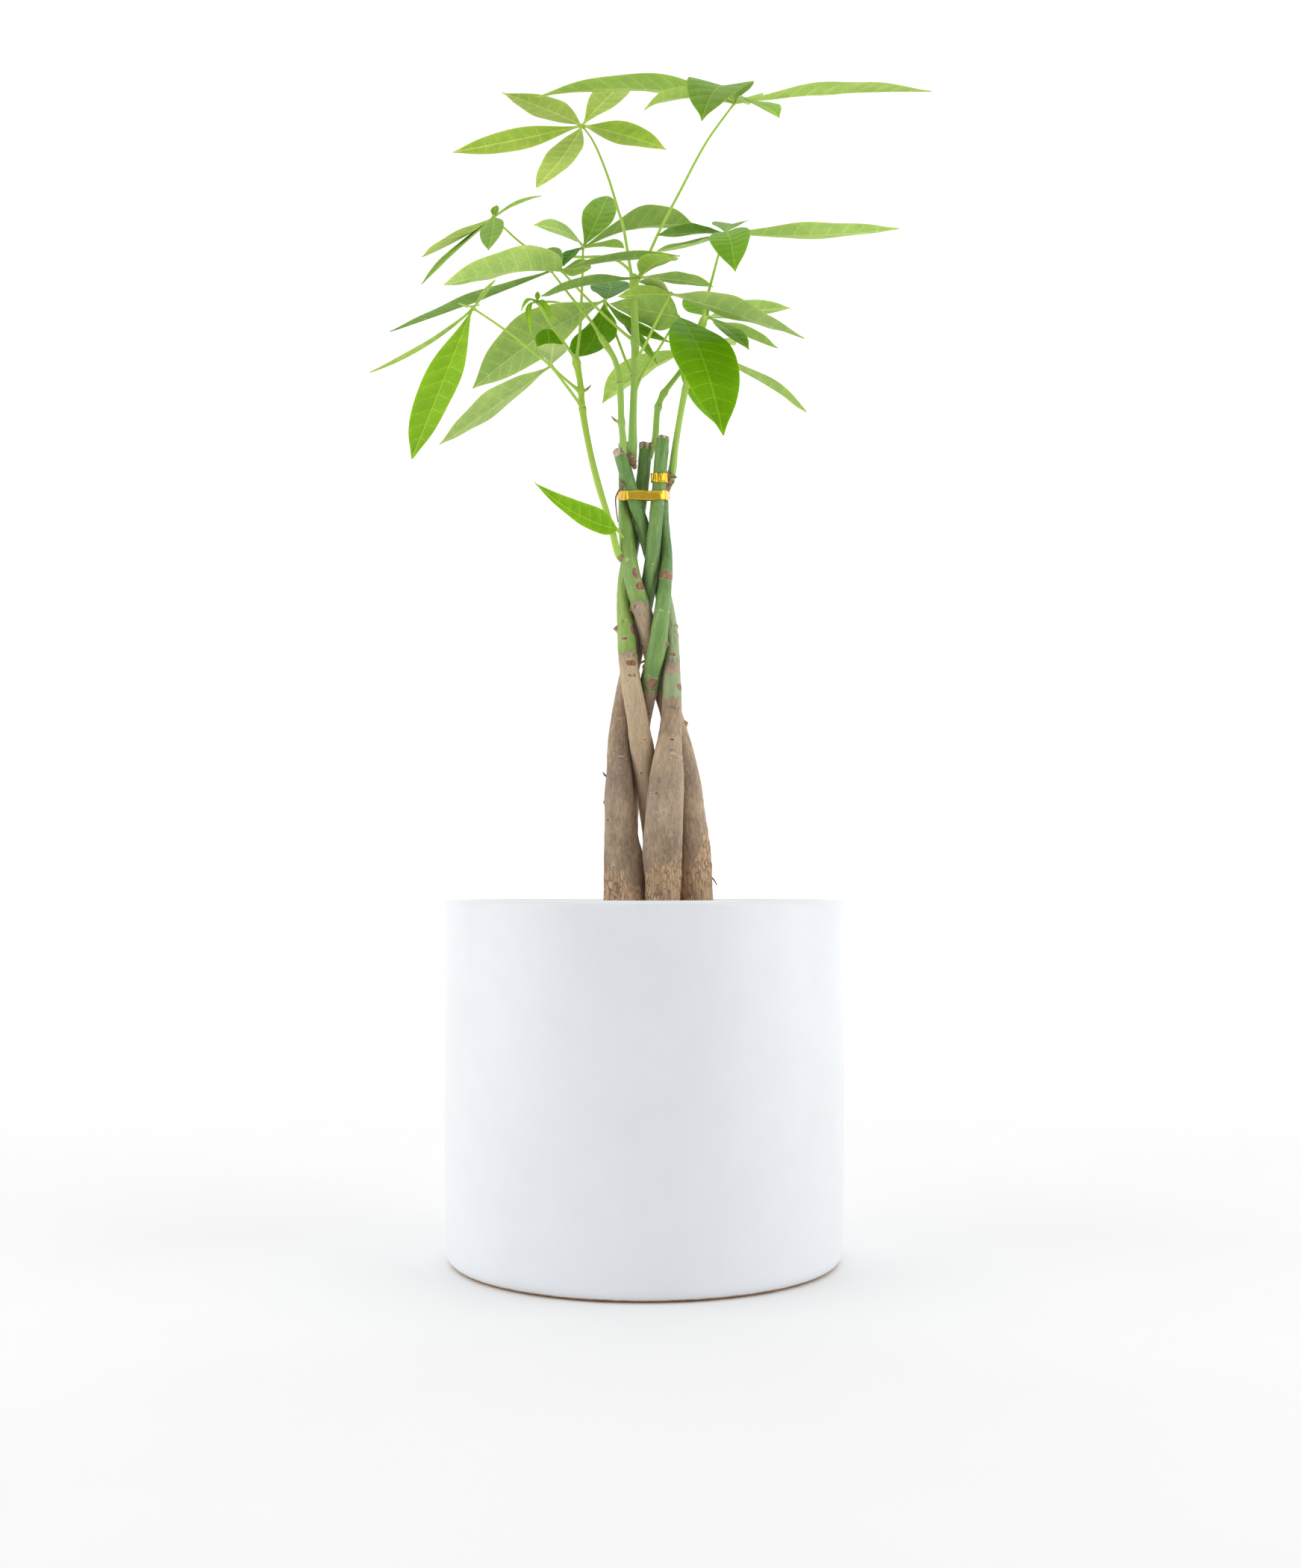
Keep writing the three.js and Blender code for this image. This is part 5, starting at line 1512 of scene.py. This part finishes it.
def add_sweep(stage):
    """Floor and wall in one sheet: flat, then a quarter circle, then upright."""
    bend = np.linspace(0, np.pi / 2, 33)
    y = np.concatenate([[-3.0, 0], 1.6 + 0.9 * np.sin(bend), [2.5]])
    z = np.concatenate([[0, 0], 0.9 - 0.9 * np.cos(bend), [4.0]])
    x = np.linspace(-4, 4, 9)
    grid = np.stack(np.broadcast_arrays(x[None], y[:, None], z[:, None]), -1)
    n, m = grid.shape[:2]
    i, j = np.meshgrid(np.arange(n - 1), np.arange(m - 1), indexing="ij")
    a = (i * m + j).ravel()
    mesh = bpy.data.meshes.new("Floor")
    mesh.from_pydata(grid.reshape(-1, 3).tolist(), [],
                     np.stack([a, a + 1, a + m + 1, a + m], -1).tolist())
    mesh.shade_smooth()

    def lay(b):
        at = b.place()
        behind = b.step(b.node("SeparateXYZ", {0: at}, out="Y"), 0.1, 1.5)
        return {"Base Color": b.mottle(at, 3.0, stage.paper, toned(stage.paper, 0.985)),
                "Emission Color": b.layer((0, 0, 0), (1, 1, 1), behind)}
    mesh.materials.append(finish("Pale floor", lay, Roughness=0.85, Specular_IOR_Level=0.2,
                                 Emission_Strength=stage.glow))
    floor = bpy.data.objects.new("Floor", mesh)
    bpy.context.scene.collection.objects.link(floor)


def add_panel(name, place, target, side, power):
    """A soft square light that faces the target."""
    light = bpy.data.lights.new(name, "AREA")
    light.shape = "SQUARE"
    light.size = side
    light.energy = power
    panel = bpy.data.objects.new(name, light)
    away = np.array(place) - np.array(target)
    panel.location = place
    panel.rotation_euler = (math.atan2(math.hypot(away[0], away[1]), away[2]), 0,
                            math.atan2(away[0], -away[1]))
    bpy.context.scene.collection.objects.link(panel)


class MoneyTreePanel(bpy.types.Panel):
    """A button and the settings for each piece and for the stage"""
    bl_idname = "VIEW3D_PT_moneytree"
    bl_label = "Potted money tree"
    bl_space_type = "VIEW_3D"
    bl_region_type = "UI"
    bl_category = "Money Tree"

    def draw(self, context):
        for operator, (name, settings) in zip(STEPS, SETTINGS):
            box = self.layout.box()
            box.operator(operator.bl_idname)
            group = getattr(context.scene, name, None)
            if group:
                for key in settings.__annotations__:
                    box.prop(group, key)


STEPS = (MakePot, MakeSoil, MakeTrunks, MakeShoots, MakeLeaves, MakeTies, MakeStage)
SETTINGS = (
    ("moneytree_pot", PotSettings), ("moneytree_soil", SoilSettings),
    ("moneytree_trunks", TrunkSettings), ("moneytree_shoots", ShootSettings),
    ("moneytree_leaves", LeafSettings), ("moneytree_ties", TieSettings),
    ("moneytree_stage", StageSettings),
)
CLASSES = (*(group for _, group in SETTINGS), *STEPS, MoneyTreePanel)


def register():
    for cls in CLASSES:
        bpy.utils.register_class(cls)
    for name, group in SETTINGS:
        setattr(bpy.types.Scene, name, PointerProperty(type=group))


def unregister():
    for name, _ in SETTINGS:
        delattr(bpy.types.Scene, name)
    for cls in reversed(CLASSES):
        bpy.utils.unregister_class(cls)


def main():
    """Registers the classes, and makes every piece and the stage."""
    register()
    for step in STEPS:
        group, call = step.bl_idname.split(".")
        getattr(getattr(bpy.ops, group), call)()


if __name__ == "__main__":
    main()
